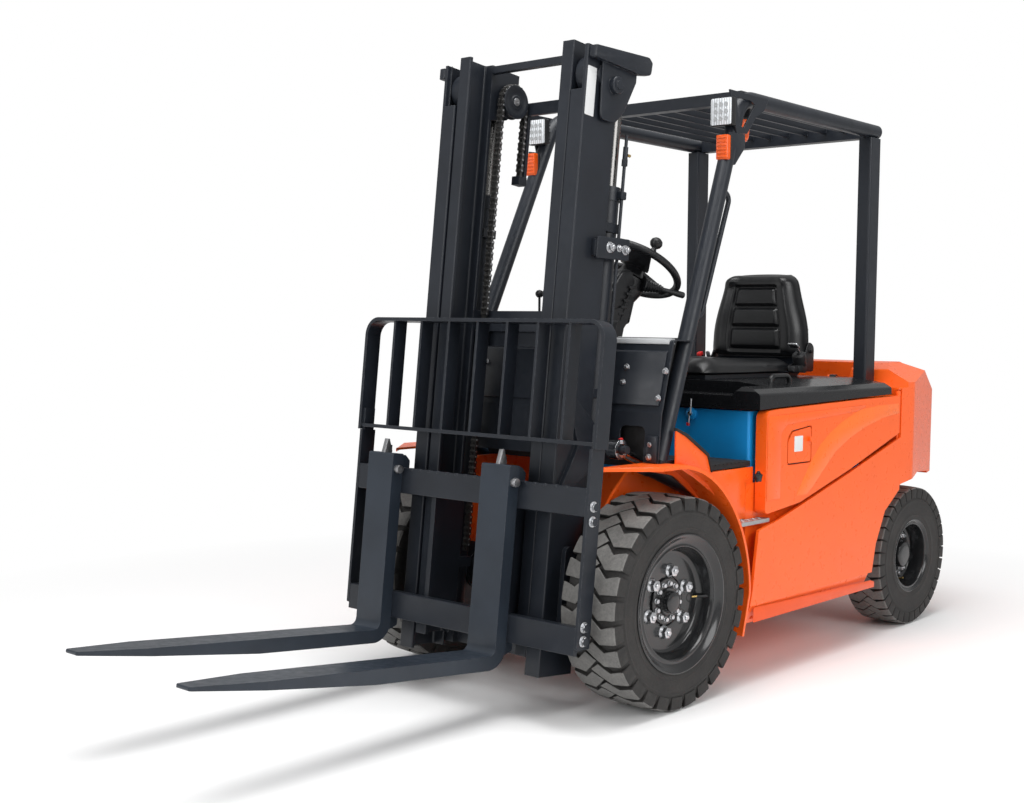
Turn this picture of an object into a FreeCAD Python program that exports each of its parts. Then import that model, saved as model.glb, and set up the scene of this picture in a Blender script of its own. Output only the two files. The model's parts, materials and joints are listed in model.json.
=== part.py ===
"""Counterbalance electric forklift with a two-stage mast, as a parametric document.

Millimetres.  Front (fork) end faces -Y, driver's left is +X, +Z is up, floor at Z = 0.
Truck pieces are drawn with the front axle at Y = 0.  Mast pieces are drawn in an upright
mast frame whose origin is the front axle's centre, and are then leaned back by "lean".
"""
import FreeCAD, Part
import math
import os
import Sketcher

Vector = FreeCAD.Vector

# Driving sizes: alias, value, what it is

SIZES = [
    ("wheelbase", 1650, "front axle to rear axle"),
    ("rear_overhang", 460, "rear axle to the counterweight's back"),
    ("body_half", 610, "half width over the body sides"),
    ("sheet", 8, "folded body sheet"),
    ("plate", 12, "frame and bracket plate"),
    ("run_gap", 5, "clearance between pieces that move past each other"),
    ("seat_gap", 0.3, "clearance between pieces that rest on each other"),
    ("lean", 6.2, "backward lean of the mast, degrees"),
    ("front_tyre_dia", 700, "front tyre over its lugs"),
    ("front_tyre_width", 222, "front tyre"),
    ("front_rim_dia", 446, "front rim flange"),
    ("lug_depth", 15, "front tyre lug height"),
    ("lug_count", 28, "lugs in each row of a front tyre"),
    ("rear_tyre_dia", 584, "rear tyre"),
    ("rear_tyre_width", 174, "rear tyre"),
    ("rear_track", 980, "between rear wheel centres"),
    ("rear_rim_dia", 304, "rear rim flange"),
    ("rib_count", 26, "shoulder notches of a rear tyre"),
    ("kingpin_half", 366, "kingpin centre from the middle"),
    ("outer_half", 328, "mast outer upright, outside face"),
    ("outer_front", 350, "mast outer upright, front face ahead of the axle"),
    ("outer_depth", 155, "mast outer upright, front to back"),
    ("inner_half", 261, "mast inner upright, outside face"),
    ("inner_front", 345, "mast inner upright, front face ahead of the axle"),
    ("inner_depth", 120, "mast inner upright, front to back"),
    ("flange", 50, "reach of the uprights' flanges"),
    ("web", 14, "thickness of the uprights' webs and flanges"),
    ("outer_top", 1743, "mast outer upright, top"),
    ("inner_top", 1764, "mast inner upright, top"),
    ("outer_foot", -255, "mast outer upright, foot"),
    ("inner_foot", -200, "mast inner upright, foot"),
    ("barrel_radius", 37, "lift cylinder tube"),
    ("barrel_top", 1330, "lift cylinder tube, top"),
    ("lift_rod_radius", 24, "lift cylinder rod"),
    ("cylinder_half", 286, "lift cylinder centre from the middle"),
    ("cylinder_back", 153, "lift cylinder centre ahead of the axle"),
    ("pulley_half", 190, "chain pulley from the middle"),
    ("pulley_radius", 50, "chain pulley"),
    ("pulley_height", 1654, "chain pulley centre"),
    ("pulley_front", 153, "chain pulley centre ahead of the axle"),
    ("chain_width", 22, "leaf chain"),
    ("chain_thick", 12, "leaf chain"),
    ("carriage_half", 528, "half width of the fork carriage bars"),
    ("carriage_front", 420, "fork bar face ahead of the axle"),
    ("bar_thick", 40, "fork bars, front to back"),
    ("carriage_low", -150, "lower fork bar's bottom edge"),
    ("carriage_high", 358, "upper fork bar's top edge"),
    ("bar_tall", 74, "fork bars without their tongue"),
    ("tongue", 13, "hook tongue on the fork bars"),
    ("guard_top", 868, "top of the load backrest"),
    ("guard_cross", 485, "lower cross bar of the load backrest"),
    ("guard_depth", 58, "depth of the load backrest's flat bars"),
    ("guard_slats", 7, "upright bars of the load backrest"),
    ("fork_length", 1035, "fork blade from the shank's face"),
    ("fork_width", 125, "fork"),
    ("fork_thick", 45, "fork"),
    ("fork_top", 405, "top of the fork shank"),
    ("fork_drop", -235, "underside of the fork blade"),
    ("fork_left_x", 183, "left fork's centre"),
    ("fork_right_x", -365, "right fork's centre"),
    ("floor_height", 775, "top of the floor plate"),
    ("fender_height", 800, "top of the front fender"),
    ("step_height", 575, "entry step"),
    ("skirt_low", 212, "bottom edge of the side skirts"),
    ("battery_front", 450, "battery face behind the front axle"),
    ("battery_length", 780, "battery, front to back"),
    ("battery_low", 240, "underside of the battery"),
    ("battery_high", 950, "top of the battery"),
    ("hood_high", 1046, "top of the hood"),
    ("cowl_top", 1196, "top of the front cowl"),
    ("guard_tube", 28, "radius of the overhead guard's front tube"),
    ("guard_height", 2040, "centre of the overhead guard's rails"),
    ("pillar_wide", 60, "rear pillar, across"),
    ("pillar_deep", 80, "rear pillar, front to back"),
    ("pillar_front", 1401, "rear pillar face behind the front axle"),
    ("roof_bars", 8, "bars of the overhead guard"),
    ("wheel_height", 1452, "steering wheel centre"),
    ("wheel_back", 468, "steering wheel centre behind the front axle"),
    ("wheel_radius", 174, "steering wheel"),
    ("lid_pin_y", 1385, "hood hinge pin behind the front axle"),
    ("lid_pin_z", 1040, "hood hinge pin above the floor"),
    ("door_pin_y", 1430, "side door hinge pin behind the front axle"),
    ("flap_pin_y", 609, "charge flap hinge pin behind the front axle"),
    ("seat_height", 1115, "top of the seat cushion"),
    ("seat_half", 250, "half width of the seat"),
    ("seam", 1446, "counterweight face behind the front axle"),
    ("weight_high", 1108, "top of the counterweight"),
    ("weight_low", 612, "underside of the counterweight"),
    ("tilt_pin_front", 171, "tilt cylinder's mast pin ahead of the axle, up the mast"),
    ("tilt_pin_height", 480, "tilt cylinder's mast pin above the axle, up the mast"),
    ("tilt_foot_y", 330, "tilt cylinder's frame pin behind the front axle"),
    ("tilt_foot_z", 668, "tilt cylinder's frame pin above the floor"),
    ("tilt_radius", 33, "tilt cylinder tube"),
    ("tilt_rod_radius", 17, "tilt cylinder rod"),
]


class Size:
    """A number together with the sheet expression that it stands for."""

    def __init__(self, value, text):
        self.value = float(value)
        self.text = text

    def __add__(self, other):
        other = as_size(other)
        return Size(self.value + other.value, f"({self.text} + {other.text})")

    def __sub__(self, other):
        other = as_size(other)
        return Size(self.value - other.value, f"({self.text} - {other.text})")

    def __mul__(self, other):
        other = as_size(other)
        return Size(self.value * other.value, f"({self.text} * {other.text})")

    def __truediv__(self, other):
        other = as_size(other)
        return Size(self.value / other.value, f"({self.text} / {other.text})")

    def __radd__(self, other):
        return as_size(other) + self

    def __rsub__(self, other):
        return as_size(other) - self

    def __rmul__(self, other):
        return as_size(other) * self

    def __rtruediv__(self, other):
        return as_size(other) / self

    def __neg__(self):
        return Size(-self.value, f"(0 - {self.text})")

    def __float__(self):
        return self.value


def as_size(number):
    if isinstance(number, Size):
        return number
    text = f"({number})" if number < 0 else f"{number}"
    return Size(number, text)


def sine(angle):
    angle = as_size(angle)
    return Size(math.sin(math.radians(angle.value)), f"sin({angle.text} * 1deg)")


def cosine(angle):
    angle = as_size(angle)
    return Size(math.cos(math.radians(angle.value)), f"cos({angle.text} * 1deg)")


class Names:
    """Holds one Size for each row of the sheet."""


doc = FreeCAD.newDocument("forklift")
sheet = doc.addObject("Spreadsheet::Sheet", "Sizes")
S = Names()
for row, (alias, number, note) in enumerate(SIZES, 1):
    sheet.set(f"A{row}", alias)
    sheet.set(f"B{row}", str(number))
    sheet.set(f"C{row}", note)
    sheet.setAlias(f"B{row}", alias)
    setattr(S, alias, Size(number, f"Sizes.{alias}"))
doc.recompute()

# Places across the truck that keep their distance from the body sides

S.front_track = (S.body_half - 108) * 2
S.battery_half = S.body_half - 64
S.hood_half = S.body_half - 10
S.cover_in = S.body_half - 45
S.cowl_half = S.body_half - 80
S.guard_rail_half = S.body_half - 172
S.tilt_half = S.body_half - 185
S.door_pin_x = S.body_half - 10
S.flap_pin_x = S.body_half - 5

# Heights of the axles, and where the front axle lies in the finished part's own frame

FRONT_AXLE_Z = S.front_tyre_dia / 2
REAR_AXLE_Z = S.rear_tyre_dia / 2
FORK_FACE = S.carriage_front + S.seat_gap + S.fork_thick
FORK_TIP = FORK_FACE + S.fork_length
NOSE = FORK_TIP * cosine(S.lean) - (S.fork_drop + S.fork_thick) * sine(S.lean)
AXLE_Y = (NOSE - S.wheelbase - S.rear_overhang) / 2

NODES = []


def bind(item, prop, size):
    """Ties a property to the sheet, or sets it where no size drives it."""
    size = as_size(size)
    if "Sizes." in size.text:
        item.setExpression(prop, size.text)
    else:
        item.setExpression(prop, f"{size.value}")


def shift(item, at):
    for axis, size in zip("xyz", at):
        bind(item, f"Placement.Base.{axis}", size)
    return item


def box(name, low, high):
    """A plate or block between two opposite corners."""
    item = doc.addObject("Part::Box", name)
    low = [as_size(number) for number in low]
    high = [as_size(number) for number in high]
    for prop, start, end in zip(("Length", "Width", "Height"), low, high):
        bind(item, prop, end - start)
    return shift(item, low)


TURNS = {
    "X": FreeCAD.Rotation(Vector(0, 1, 0), 90),
    "Y": FreeCAD.Rotation(Vector(1, 0, 0), -90),
    "Z": FreeCAD.Rotation(),
}


def rod(name, axis, start, length, radius):
    """A cylinder that runs from start along +axis."""
    item = doc.addObject("Part::Cylinder", name)
    item.Placement = FreeCAD.Placement(Vector(), TURNS[axis])
    bind(item, "Radius", radius)
    bind(item, "Height", length)
    return shift(item, start)


def fuse(name, items):
    item = doc.addObject("Part::MultiFuse", name)
    item.Shapes = items
    item.Refine = True
    return item


def cut(name, base, tools):
    item = doc.addObject("Part::Cut", name)
    item.Base = base
    item.Tool = tools[0] if len(tools) == 1 else fuse(name + "_tools", tools)
    item.Refine = True
    return item


def gather(name, items):
    """Like pieces of one sub-part that don't touch each other."""
    item = doc.addObject("Part::Compound", name)
    item.Links = items
    return item


def new_sketch(body, plane):
    sketch = body.newObject("Sketcher::SketchObject", body.Name + "_sketch")
    features = body.Origin.OriginFeatures
    support = [item for item in features if item.Role == plane + "_Plane"][0]
    sketch.AttachmentSupport = [(support, "")]
    sketch.MapMode = "FlatFace"
    return sketch


def draw_outline(sketch, corners):
    """Closes a loop through corners (u, v) or (u, v, radius), each tied to the sheet."""
    corners = [[as_size(number) for number in corner] for corner in corners]
    count = len(corners)
    points = [Vector(corner[0].value, corner[1].value, 0) for corner in corners]
    starts = []
    ends = []
    centres = []
    for index, corner in enumerate(corners):
        point = points[index]
        back = (points[index - 1] - point).normalize()
        ahead = (points[(index + 1) % count] - point).normalize()
        if len(corner) == 2:
            starts.append(point)
            ends.append(point)
            centres.append(None)
            continue
        radius = corner[2].value
        half = back.getAngle(ahead) / 2
        inward = (back + ahead).normalize()
        ends.append(point + back * (radius / math.tan(half)))
        starts.append(point + ahead * (radius / math.tan(half)))
        centres.append(point + inward * (radius / math.sin(half)))
    edges = [Part.LineSegment(starts[i], ends[(i + 1) % count]) for i in range(count)]
    lines = sketch.addGeometry(edges, False)
    rules = []
    ties = []
    for index, corner in enumerate(corners):
        before = lines[index - 1]
        after = lines[index]
        if centres[index] is None:
            rules.append(Sketcher.Constraint("Coincident", before, 2, after, 1))
            anchor = after
        else:
            centre = centres[index]
            enter = math.atan2(ends[index].y - centre.y, ends[index].x - centre.x)
            leave = math.atan2(starts[index].y - centre.y, starts[index].x - centre.x)
            leftward = (leave - enter) % (2 * math.pi) < math.pi
            first, last = (1, 2) if leftward else (2, 1)
            begin, finish = (enter, leave) if leftward else (leave, enter)
            circle = Part.Circle(centre, Vector(0, 0, 1), corner[2].value)
            arc = sketch.addGeometry(Part.ArcOfCircle(
                circle, begin, begin + (finish - begin) % (2 * math.pi),
            ))
            rules.append(Sketcher.Constraint("Tangent", before, 2, arc, first))
            rules.append(Sketcher.Constraint("Tangent", after, 1, arc, last))
            ties.append((len(rules), corner[2]))
            rules.append(Sketcher.Constraint("Radius", arc, corner[2].value))
            anchor = sketch.addGeometry(Part.Point(points[index]), True)
            rules.append(Sketcher.Constraint("PointOnObject", anchor, 1, before))
            rules.append(Sketcher.Constraint("PointOnObject", anchor, 1, after))
        for kind, size in (("DistanceX", corner[0]), ("DistanceY", corner[1])):
            ties.append((len(rules), size))
            rules.append(Sketcher.Constraint(kind, -1, 1, anchor, 1, size.value))
    base = len(sketch.Constraints)
    sketch.addConstraint(rules)
    for index, size in ties:
        bind(sketch, f"Constraints[{base + index}]", size)


def draw_circle(sketch, centre, radius):
    u, v, radius = [as_size(number) for number in (*centre, radius)]
    ring = sketch.addGeometry(Part.Circle(Vector(u.value, v.value, 0), Vector(0, 0, 1), radius.value))
    base = len(sketch.Constraints)
    sketch.addConstraint([
        Sketcher.Constraint("DistanceX", -1, 1, ring, 3, u.value),
        Sketcher.Constraint("DistanceY", -1, 1, ring, 3, v.value),
        Sketcher.Constraint("Radius", ring, radius.value),
    ])
    for index, size in enumerate((u, v, radius)):
        bind(sketch, f"Constraints[{base + index}]", size)


def prism(name, plane, corners, low, high, holes=()):
    """Pads an outline on YZ, XZ or XY between two places along the plane's normal axis."""
    low = as_size(low)
    high = as_size(high)
    body = doc.addObject("PartDesign::Body", name)
    sketch = new_sketch(body, plane)
    start = -high if plane == "XZ" else low
    bind(sketch, "AttachmentOffset.Base.z", start)
    draw_outline(sketch, corners)
    for hole in holes:
        if len(hole) == 3 and not isinstance(hole[0], (tuple, list)):
            draw_circle(sketch, hole[:2], hole[2])
        else:
            draw_outline(sketch, hole)
    pad = body.newObject("PartDesign::Pad", name + "_pad")
    pad.Profile = sketch
    bind(pad, "Length", high - low)
    sketch.Visibility = False
    return body


def turned(name, axis, corners):
    """Revolves an outline of (along the axis, radius) about X, Y or Z through the origin."""
    body = doc.addObject("PartDesign::Body", name)
    plane = {"X": "XY", "Y": "YZ", "Z": "XZ"}[axis]
    sketch = new_sketch(body, plane)
    if axis == "Z":
        corners = [(corner[1], corner[0], *corner[2:]) for corner in corners]
    draw_outline(sketch, corners)
    wheel = body.newObject("PartDesign::Revolution", name + "_turn")
    wheel.Profile = sketch
    wheel.ReferenceAxis = (sketch, ["V_Axis" if axis == "Z" else "H_Axis"])
    wheel.Angle = 360
    return body


def pipe(name, points, radius, bends):
    """A round tube or bar along straight runs joined by tangent arcs."""
    path = [Vector(*[float(number) for number in point]) for point in points]
    edges = []
    start = path[0]
    for index, bend in enumerate(bends, 1):
        corner = path[index]
        back = (path[index - 1] - corner).normalize()
        ahead = (path[index + 1] - corner).normalize()
        half = back.getAngle(ahead) / 2
        reach = float(bend) / math.tan(half)
        inward = (back + ahead).normalize()
        middle = corner + inward * (float(bend) / math.sin(half) - float(bend))
        edges.append(Part.LineSegment(start, corner + back * reach).toShape())
        edges.append(Part.Arc(corner + back * reach, middle, corner + ahead * reach).toShape())
        start = corner + ahead * reach
    edges.append(Part.LineSegment(start, path[-1]).toShape())
    wire = Part.Wire(edges)
    along = path[1] - path[0]
    circle = Part.Wire([Part.makeCircle(float(radius), path[0], along)])
    shape = wire.makePipeShell([circle], True, False)
    item = doc.addObject("Part::Feature", name)
    item.Shape = shape
    return item


def node(label, item, frame="truck", at=(0, 0, 0), turn=0):
    """Names a finished sub-part and puts it, turned about X, in the part's own frame."""
    item.Label = label
    if frame == "mast":
        at = (0, 0, FRONT_AXLE_Z)
        turn = -S.lean
    x, y, z = [as_size(number) for number in at]
    y = AXLE_Y + y
    turn = as_size(turn)
    if item.TypeId == "Part::Feature":
        spin = FreeCAD.Rotation(Vector(1, 0, 0), turn.value)
        item.Placement = FreeCAD.Placement(Vector(x.value, y.value, z.value), spin)
    else:
        base = f"vector({x.text}; {y.text}; {z.text})"
        item.setExpression("Placement", f"placement({base}; rotation(vector(1; 0; 0); {turn.text}))")
    NODES.append(item)
    return item


SIDES = (("left", 1), ("right", -1))


def span(side, near, far):
    """Low and high places of a stretch from near to far of the middle, on one side."""
    return (near, far) if side > 0 else (-as_size(far), -as_size(near))


# Places in the upright mast frame that several pieces share

OUTER_REACH = S.outer_half - S.inner_half - S.run_gap
OUTER_BACK = -S.outer_front + S.outer_depth
INNER_BACK = -S.inner_front + S.inner_depth
OUTER_MID = -S.outer_front + S.outer_depth / 2
INNER_MID = -S.inner_front + S.inner_depth / 2
CYLINDER_Y = -S.cylinder_back
PULLEY_Y = -S.pulley_front
CHAIN_OFFSET = S.pulley_radius + S.seat_gap + S.chain_thick / 2
CHAIN_FRONT_Y = PULLEY_Y - CHAIN_OFFSET
CHAIN_BACK_Y = PULLEY_Y + CHAIN_OFFSET
TILT_PIN_Y = -S.tilt_pin_front
TILT_PIN_Z = S.tilt_pin_height
WHEEL_LEAN = 32
DOOR_PIN_LOW = 785
DOOR_PIN_LONG = 62
DOOR_PIN_RADIUS = 4
DOOR_TOP_PIN_LOW = 980


# Frame, fenders and body panels


def make_frame():
    """Welded frame: skirts with a turned-in lower band, battery well, floor and axle rails."""
    pieces = []
    band = S.skirt_low + 70
    sill = S.battery_low - S.seat_gap - S.plate
    well = S.battery_half + S.run_gap
    well_front = S.battery_front - 32
    well_back = S.battery_front + S.battery_length + S.run_gap
    arch = [(1206, band), (1236, band), (1262, 391), (1331, 518), (S.seam - S.seat_gap, 594)]
    split = [(S.seam - S.seat_gap, 808), (1044, 694), (691, 600), (560, 566), (430, 540)]
    outline = [(384, band), *arch, *split, (397, 330)]
    for name, side in SIDES:
        low, high = span(side, S.body_half - S.plate, S.body_half)
        pieces.append(prism(f"skirt_{name}", "YZ", outline, low, high))
        lower = [
            (side * (S.body_half - S.plate), band),
            (side * S.body_half, band),
            (side * (S.body_half - 32), S.skirt_low),
            (side * (S.body_half - 32 - S.plate), S.skirt_low),
        ]
        pieces.append(prism(f"band_{name}", "XZ", lower, 386, 1206))
        low, high = span(side, well, well + S.sheet)
        pieces.append(box(f"well_{name}", (low, well_front, sill), (high, well_back + S.plate, 700)))
        low, high = span(side, well, S.body_half - 20)
        pieces.append(box(f"sill_{name}", (low, well_front, sill), (high, 1206, sill + S.plate)))
        low, high = span(side, 350, 362)
        rail_top = S.floor_height - S.plate - S.seat_gap
        rail = [
            (-170, 560, 30),
            (-60, 690, 30),
            (20, rail_top),
            (well_front + 2, rail_top),
            (well_front + 2, S.skirt_low + 30),
            (180, S.skirt_low + 60),
            (110, 330, 40),
            (105, 455, 40),
            (-105, 455, 40),
            (-130, 380, 20),
        ]
        pieces.append(prism(f"rail_{name}", "YZ", rail, low, high))
        low, high = span(side, 350, 372)
        pieces.append(box(
            f"axle_seat_{name}", (low, -60, FRONT_AXLE_Z + 62), (high, 60, FRONT_AXLE_Z + 106),
        ))
    pieces.append(box("well_floor", (-well, well_front, sill), (well, well_back, sill + S.plate)))
    pieces.append(box("bulkhead", (-well, well_front, sill), (well, well_front + S.plate, 700)))
    pieces.append(box("back_wall", (-well, well_back, sill), (well, well_back + S.plate, 700)))
    for name, side in SIDES:
        low, high = span(side, 296, 308)
        post = [
            (well_back, 680),
            (well_back + 30, 680),
            (S.lid_pin_y + 9, 985),
            (S.lid_pin_y + 12, S.lid_pin_z + 12, 8),
            (S.lid_pin_y - 6, S.lid_pin_z + 12, 8),
            (S.lid_pin_y - 6, 995),
            (well_back, 740),
        ]
        pieces.append(prism(f"lid_post_{name}", "YZ", post, low, high))
        low, high = span(side, 296, 340)
        pieces.append(rod(f"lid_pin_{name}", "X", (low, S.lid_pin_y, S.lid_pin_z), high - low, 8))
        pieces.append(rod(
            f"door_pin_{name}", "Z", (side * S.door_pin_x, S.door_pin_y, DOOR_PIN_LOW), DOOR_PIN_LONG,
            DOOR_PIN_RADIUS,
        ))
    tail_top = S.weight_low - S.seat_gap
    pieces.append(box("tail_plate", (-300, well_back, 592), (300, S.wheelbase - 87, tail_top)))
    return node("frame", fuse("frame_solid", [*pieces, *make_tilt_brackets()]))


def arch_points(offset):
    """Outer line of the front fender, moved inward by offset."""
    top = S.fender_height - offset
    return [
        (-8, top),
        (112 - offset * 0.2, 760 - offset, 160),
        (250 - offset * 0.6, 668 - offset * 0.8, 160),
        (352 - offset, 520 - offset * 0.4, 160),
        (390 - offset, 330, 160),
    ]


def make_fender(name, side):
    """Shelf over a front wheel that rolls down behind it, with its liner and foot-well walls."""
    outer = arch_points(as_size(0))
    inner = arch_points(S.sheet)
    inner.reverse()
    tip = 352
    strip_line = [
        (-262, S.fender_height),
        *outer,
        (tip, 178, 6),
        (tip - 24, 178, 6),
        *inner,
        (-262, S.fender_height - S.sheet),
    ]
    shelf = S.body_half - 140
    low, high = span(side, shelf, S.body_half)
    strip = prism(f"fender_strip_{name}", "YZ", strip_line, low, high)
    corner = [
        (side * shelf, -264),
        (side * shelf, -330),
        (side * (S.body_half + 20), -330),
        (side * (S.body_half + 20), -100),
        (side * S.body_half, -112),
    ]
    trim = prism(f"fender_trim_{name}", "XY", corner, S.fender_height - 60, S.fender_height + 40)
    low, high = span(side, shelf, shelf + S.sheet)
    wall = [
        (-120, S.fender_height - S.sheet),
        (20, S.fender_height - S.sheet),
        (S.battery_front - 34, S.floor_height - S.plate - S.seat_gap),
        (S.battery_front - 34, S.step_height - 40),
        (335, S.step_height - 60),
        (255, 652, 120),
        (110, 748, 120),
        (-20, 770, 60),
    ]
    liner = prism(f"fender_wall_{name}", "YZ", wall, low, high)
    low, high = span(side, S.body_half - 60, S.body_half - 60 + S.sheet)
    cheek_line = [
        (22, S.fender_height - 4),
        (22, S.fender_height + 112),
        (75, S.fender_height + 86, 10),
        (190, S.fender_height + 18, 10),
        (200, 722),
        (120, 745),
    ]
    cheek = prism(f"fender_cheek_{name}", "YZ", cheek_line, low, high)
    solid = fuse(f"fender_solid_{name}", [cut(f"fender_cut_{name}", strip, [trim]), liner, cheek])
    return node(f"fender_{name}", solid)


def make_floor():
    """Floor plate with the raised toe board, ahead of the battery."""
    half = S.body_half - 140 - S.seat_gap
    line = [
        (108, S.floor_height - S.plate),
        (S.battery_front - 20, S.floor_height - S.plate),
        (S.battery_front - 20, S.floor_height),
        (112, S.floor_height),
        (62, 868),
        (50, 862),
    ]
    plate = prism("floor_sheet", "YZ", line, -half, half)
    notches = []
    for name, side in SIDES:
        low, high = span(side, S.tilt_half - 42, half + 5)
        notches.append(box(f"floor_notch_{name}", (low, 40, 740), (high, 232, 880)))
    return node("floor_plate", cut("floor_solid", plate, notches))


def make_steps():
    """Entry steps in the side recesses."""
    pieces = []
    for name, side in SIDES:
        outer = S.body_half - S.plate - S.seat_gap
        low, high = span(side, S.body_half - 131, outer)
        line = [
            (336, S.step_height - 14),
            (S.battery_front - 32.3, S.step_height - 14),
            (S.battery_front - 32.3, S.step_height),
            (342, S.step_height),
        ]
        front = prism(f"step_{name}", "YZ", line, low, high)
        low, high = span(side, S.battery_half + S.run_gap + S.sheet + S.seat_gap, outer)
        start = (low, S.battery_front - 34, S.step_height - 14)
        rear = box(f"step_rear_{name}", start, (high, S.battery_front + 62, S.step_height))
        pieces.append(fuse(f"step_solid_{name}", [front, rear]))
    return node("steps", gather("steps_pair", pieces))


def cowl_line(offset):
    """Front line of the cowl from its foot to its top, moved rearward by offset."""
    return [
        (-40 + offset, S.fender_height + S.seat_gap),
        (-24 + offset, 962),
        (-18 + offset, 978),
        (24 + offset, 1150, 20),
        (36 + offset, S.cowl_top - offset * 0.6, 14),
    ]


def leg_clearance(name, side):
    """Room for a guard leg in a piece that it passes through."""
    return pipe(name, guard_leg_points(side), S.guard_tube + S.seat_gap, [])


def make_cowl():
    """Front cowl panel with a bent top and an opening at each side for a tilt cylinder."""
    front = cowl_line(as_size(0))
    back = cowl_line(as_size(5))
    back.reverse()
    line = [*front, (150, S.cowl_top), (150, S.cowl_top - 4), *back]
    panel = prism("cowl_panel", "YZ", line, -S.cowl_half, S.cowl_half)
    tools = []
    for name, side in SIDES:
        hole = [
            (side * (S.tilt_half - 62), 780),
            (side * (S.tilt_half - 62), 916, 22),
            (side * (S.tilt_half + 44), 916, 22),
            (side * (S.tilt_half + 44), 780),
        ]
        tools.append(prism(f"cowl_hole_{name}", "XZ", hole, -90, 0))
        tools.append(leg_clearance(f"cowl_leg_{name}", side))
    return node("cowl", cut("cowl_solid", panel, tools))


def make_dash():
    """Dashboard moulding behind the cowl, between the guard's legs."""
    half = S.guard_rail_half
    line = [
        (204, S.cowl_top + 6, 12),
        (206, 1080, 60),
        (92, 905),
        (74, 905),
        (82, 1100),
        (96, S.cowl_top - 10),
        (150.5, S.cowl_top - 8),
        (150.5, S.cowl_top + 6),
    ]
    return node("dashboard", prism("dash_cover", "YZ", line, -half, half))


def make_column():
    """Steering column under its shroud, with the moulding and display that carry it."""
    shaft = rod("column_shaft", "Z", (0, 0, 0), 262, 20)
    shroud = doc.addObject("Part::Cone", "column_shroud")
    bind(shroud, "Radius1", 62)
    bind(shroud, "Radius2", 36)
    bind(shroud, "Height", 172)
    bind(shroud, "Placement.Base.z", 70)
    tip = rod("column_tip", "Z", (0, 0, 0), 280, 12)
    tilted = fuse("column_tilted", [shaft, shroud, tip])
    tilted.Placement = FreeCAD.Placement(Vector(), FreeCAD.Rotation(Vector(1, 0, 0), -WHEEL_LEAN))
    shift(tilted, (0, S.wheel_back - 275 * sine(WHEEL_LEAN), S.wheel_height - 275 * cosine(WHEEL_LEAN)))
    base = S.cowl_top + 6 + S.seat_gap
    housing_line = [
        (162, base),
        (200, base),
        (258, 1168, 20),
        (352, 1262, 30),
        (338, 1312, 16),
        (262, 1296, 30),
    ]
    housing = prism("column_housing", "YZ", housing_line, -80, 80)
    display = prism(
        "column_display", "YZ", [(200, base), (248, base), (262, 1252, 12), (224, 1262, 14)], -135, 135,
    )
    return node("steering_column", fuse("column_solid", [tilted, housing, display]))


def make_steering_wheel():
    """Rim, three spokes, hub and spinner knob, square to the leaning column."""
    rim = doc.addObject("Part::Torus", "wheel_rim")
    bind(rim, "Radius1", S.wheel_radius)
    bind(rim, "Radius2", 14)
    hub = doc.addObject("Part::Cone", "wheel_hub")
    bind(hub, "Radius1", 38)
    bind(hub, "Radius2", 30)
    bind(hub, "Height", 30)
    bind(hub, "Placement.Base.z", -8)
    pieces = [rim, hub]
    for index in range(3):
        spoke = doc.addObject("Part::Box", f"wheel_spoke_{index}")
        bind(spoke, "Length", S.wheel_radius)
        bind(spoke, "Width", 26)
        bind(spoke, "Height", 8)
        angle = 90 + index * 120
        turn = FreeCAD.Rotation(Vector(0, 0, 1), angle)
        start = turn.multVec(Vector(0, -13, -4))
        spoke.Placement = FreeCAD.Placement(start, turn)
        pieces.append(spoke)
    knob_stem = rod("wheel_knob_stem", "Z", (0, 0, 8), 22, 9)
    knob = doc.addObject("Part::Cone", "wheel_knob")
    bind(knob, "Radius1", 20)
    bind(knob, "Radius2", 24)
    bind(knob, "Height", 34)
    turn = 25
    for item, lift in ((knob_stem, 8), (knob, 26)):
        across = S.wheel_radius * cosine(turn)
        along = S.wheel_radius * sine(turn) * -1
        shift(item, (across, along, lift))
    pieces.extend([knob_stem, knob])
    socket = rod("wheel_socket", "Z", (0, 0, -12), 22, 12 + S.seat_gap)
    item = cut("wheel_solid", fuse("wheel_raw", pieces), [socket])
    return node("steering_wheel", item, at=(0, S.wheel_back, S.wheel_height), turn=-WHEEL_LEAN)


def make_levers():
    """Four hydraulic levers with bellows boots at the right of the column."""
    pieces = []
    for index in range(4):
        across = -205 - 46 * index
        boot = doc.addObject("Part::Cone", f"lever_boot_{index}")
        bind(boot, "Radius1", 20)
        bind(boot, "Radius2", 8)
        bind(boot, "Height", 46)
        shift(boot, (across, 176, S.cowl_top + 6 + S.seat_gap))
        stem = rod(f"lever_stem_{index}", "Z", (across, 176, S.cowl_top + 20), 130, 5)
        ball = doc.addObject("Part::Sphere", f"lever_knob_{index}")
        bind(ball, "Radius", 17)
        shift(ball, (across, 176, S.cowl_top + 158))
        pieces.append(fuse(f"lever_{index}", [boot, stem, ball]))
    return pieces


def make_pedals():
    """Accelerator and brake pedals on the toe board."""
    pieces = []
    for name, across, wide in (("brake", -70, 90), ("throttle", -215, 70)):
        line = [(92.5, 812), (124, 796), (178, 872, 6), (166, 884, 6)]
        pieces.append(prism(f"pedal_{name}", "YZ", line, across, across + wide))
        arm = [(112, 806), (122, 800), (96, 880), (86, 880)]
        pieces.append(prism(f"pedal_arm_{name}", "YZ", arm, across + wide / 2 - 8, across + wide / 2 + 8))
    return node("controls", gather("control_set", [fuse("pedals_solid", pieces), *make_levers()]))


# Overhead guard


def guard_leg_points(side):
    half = S.guard_rail_half
    foot = (side * (half + 68), -5, S.fender_height + 2)
    knee = (side * half, 512, S.guard_height)
    return foot, knee


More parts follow.
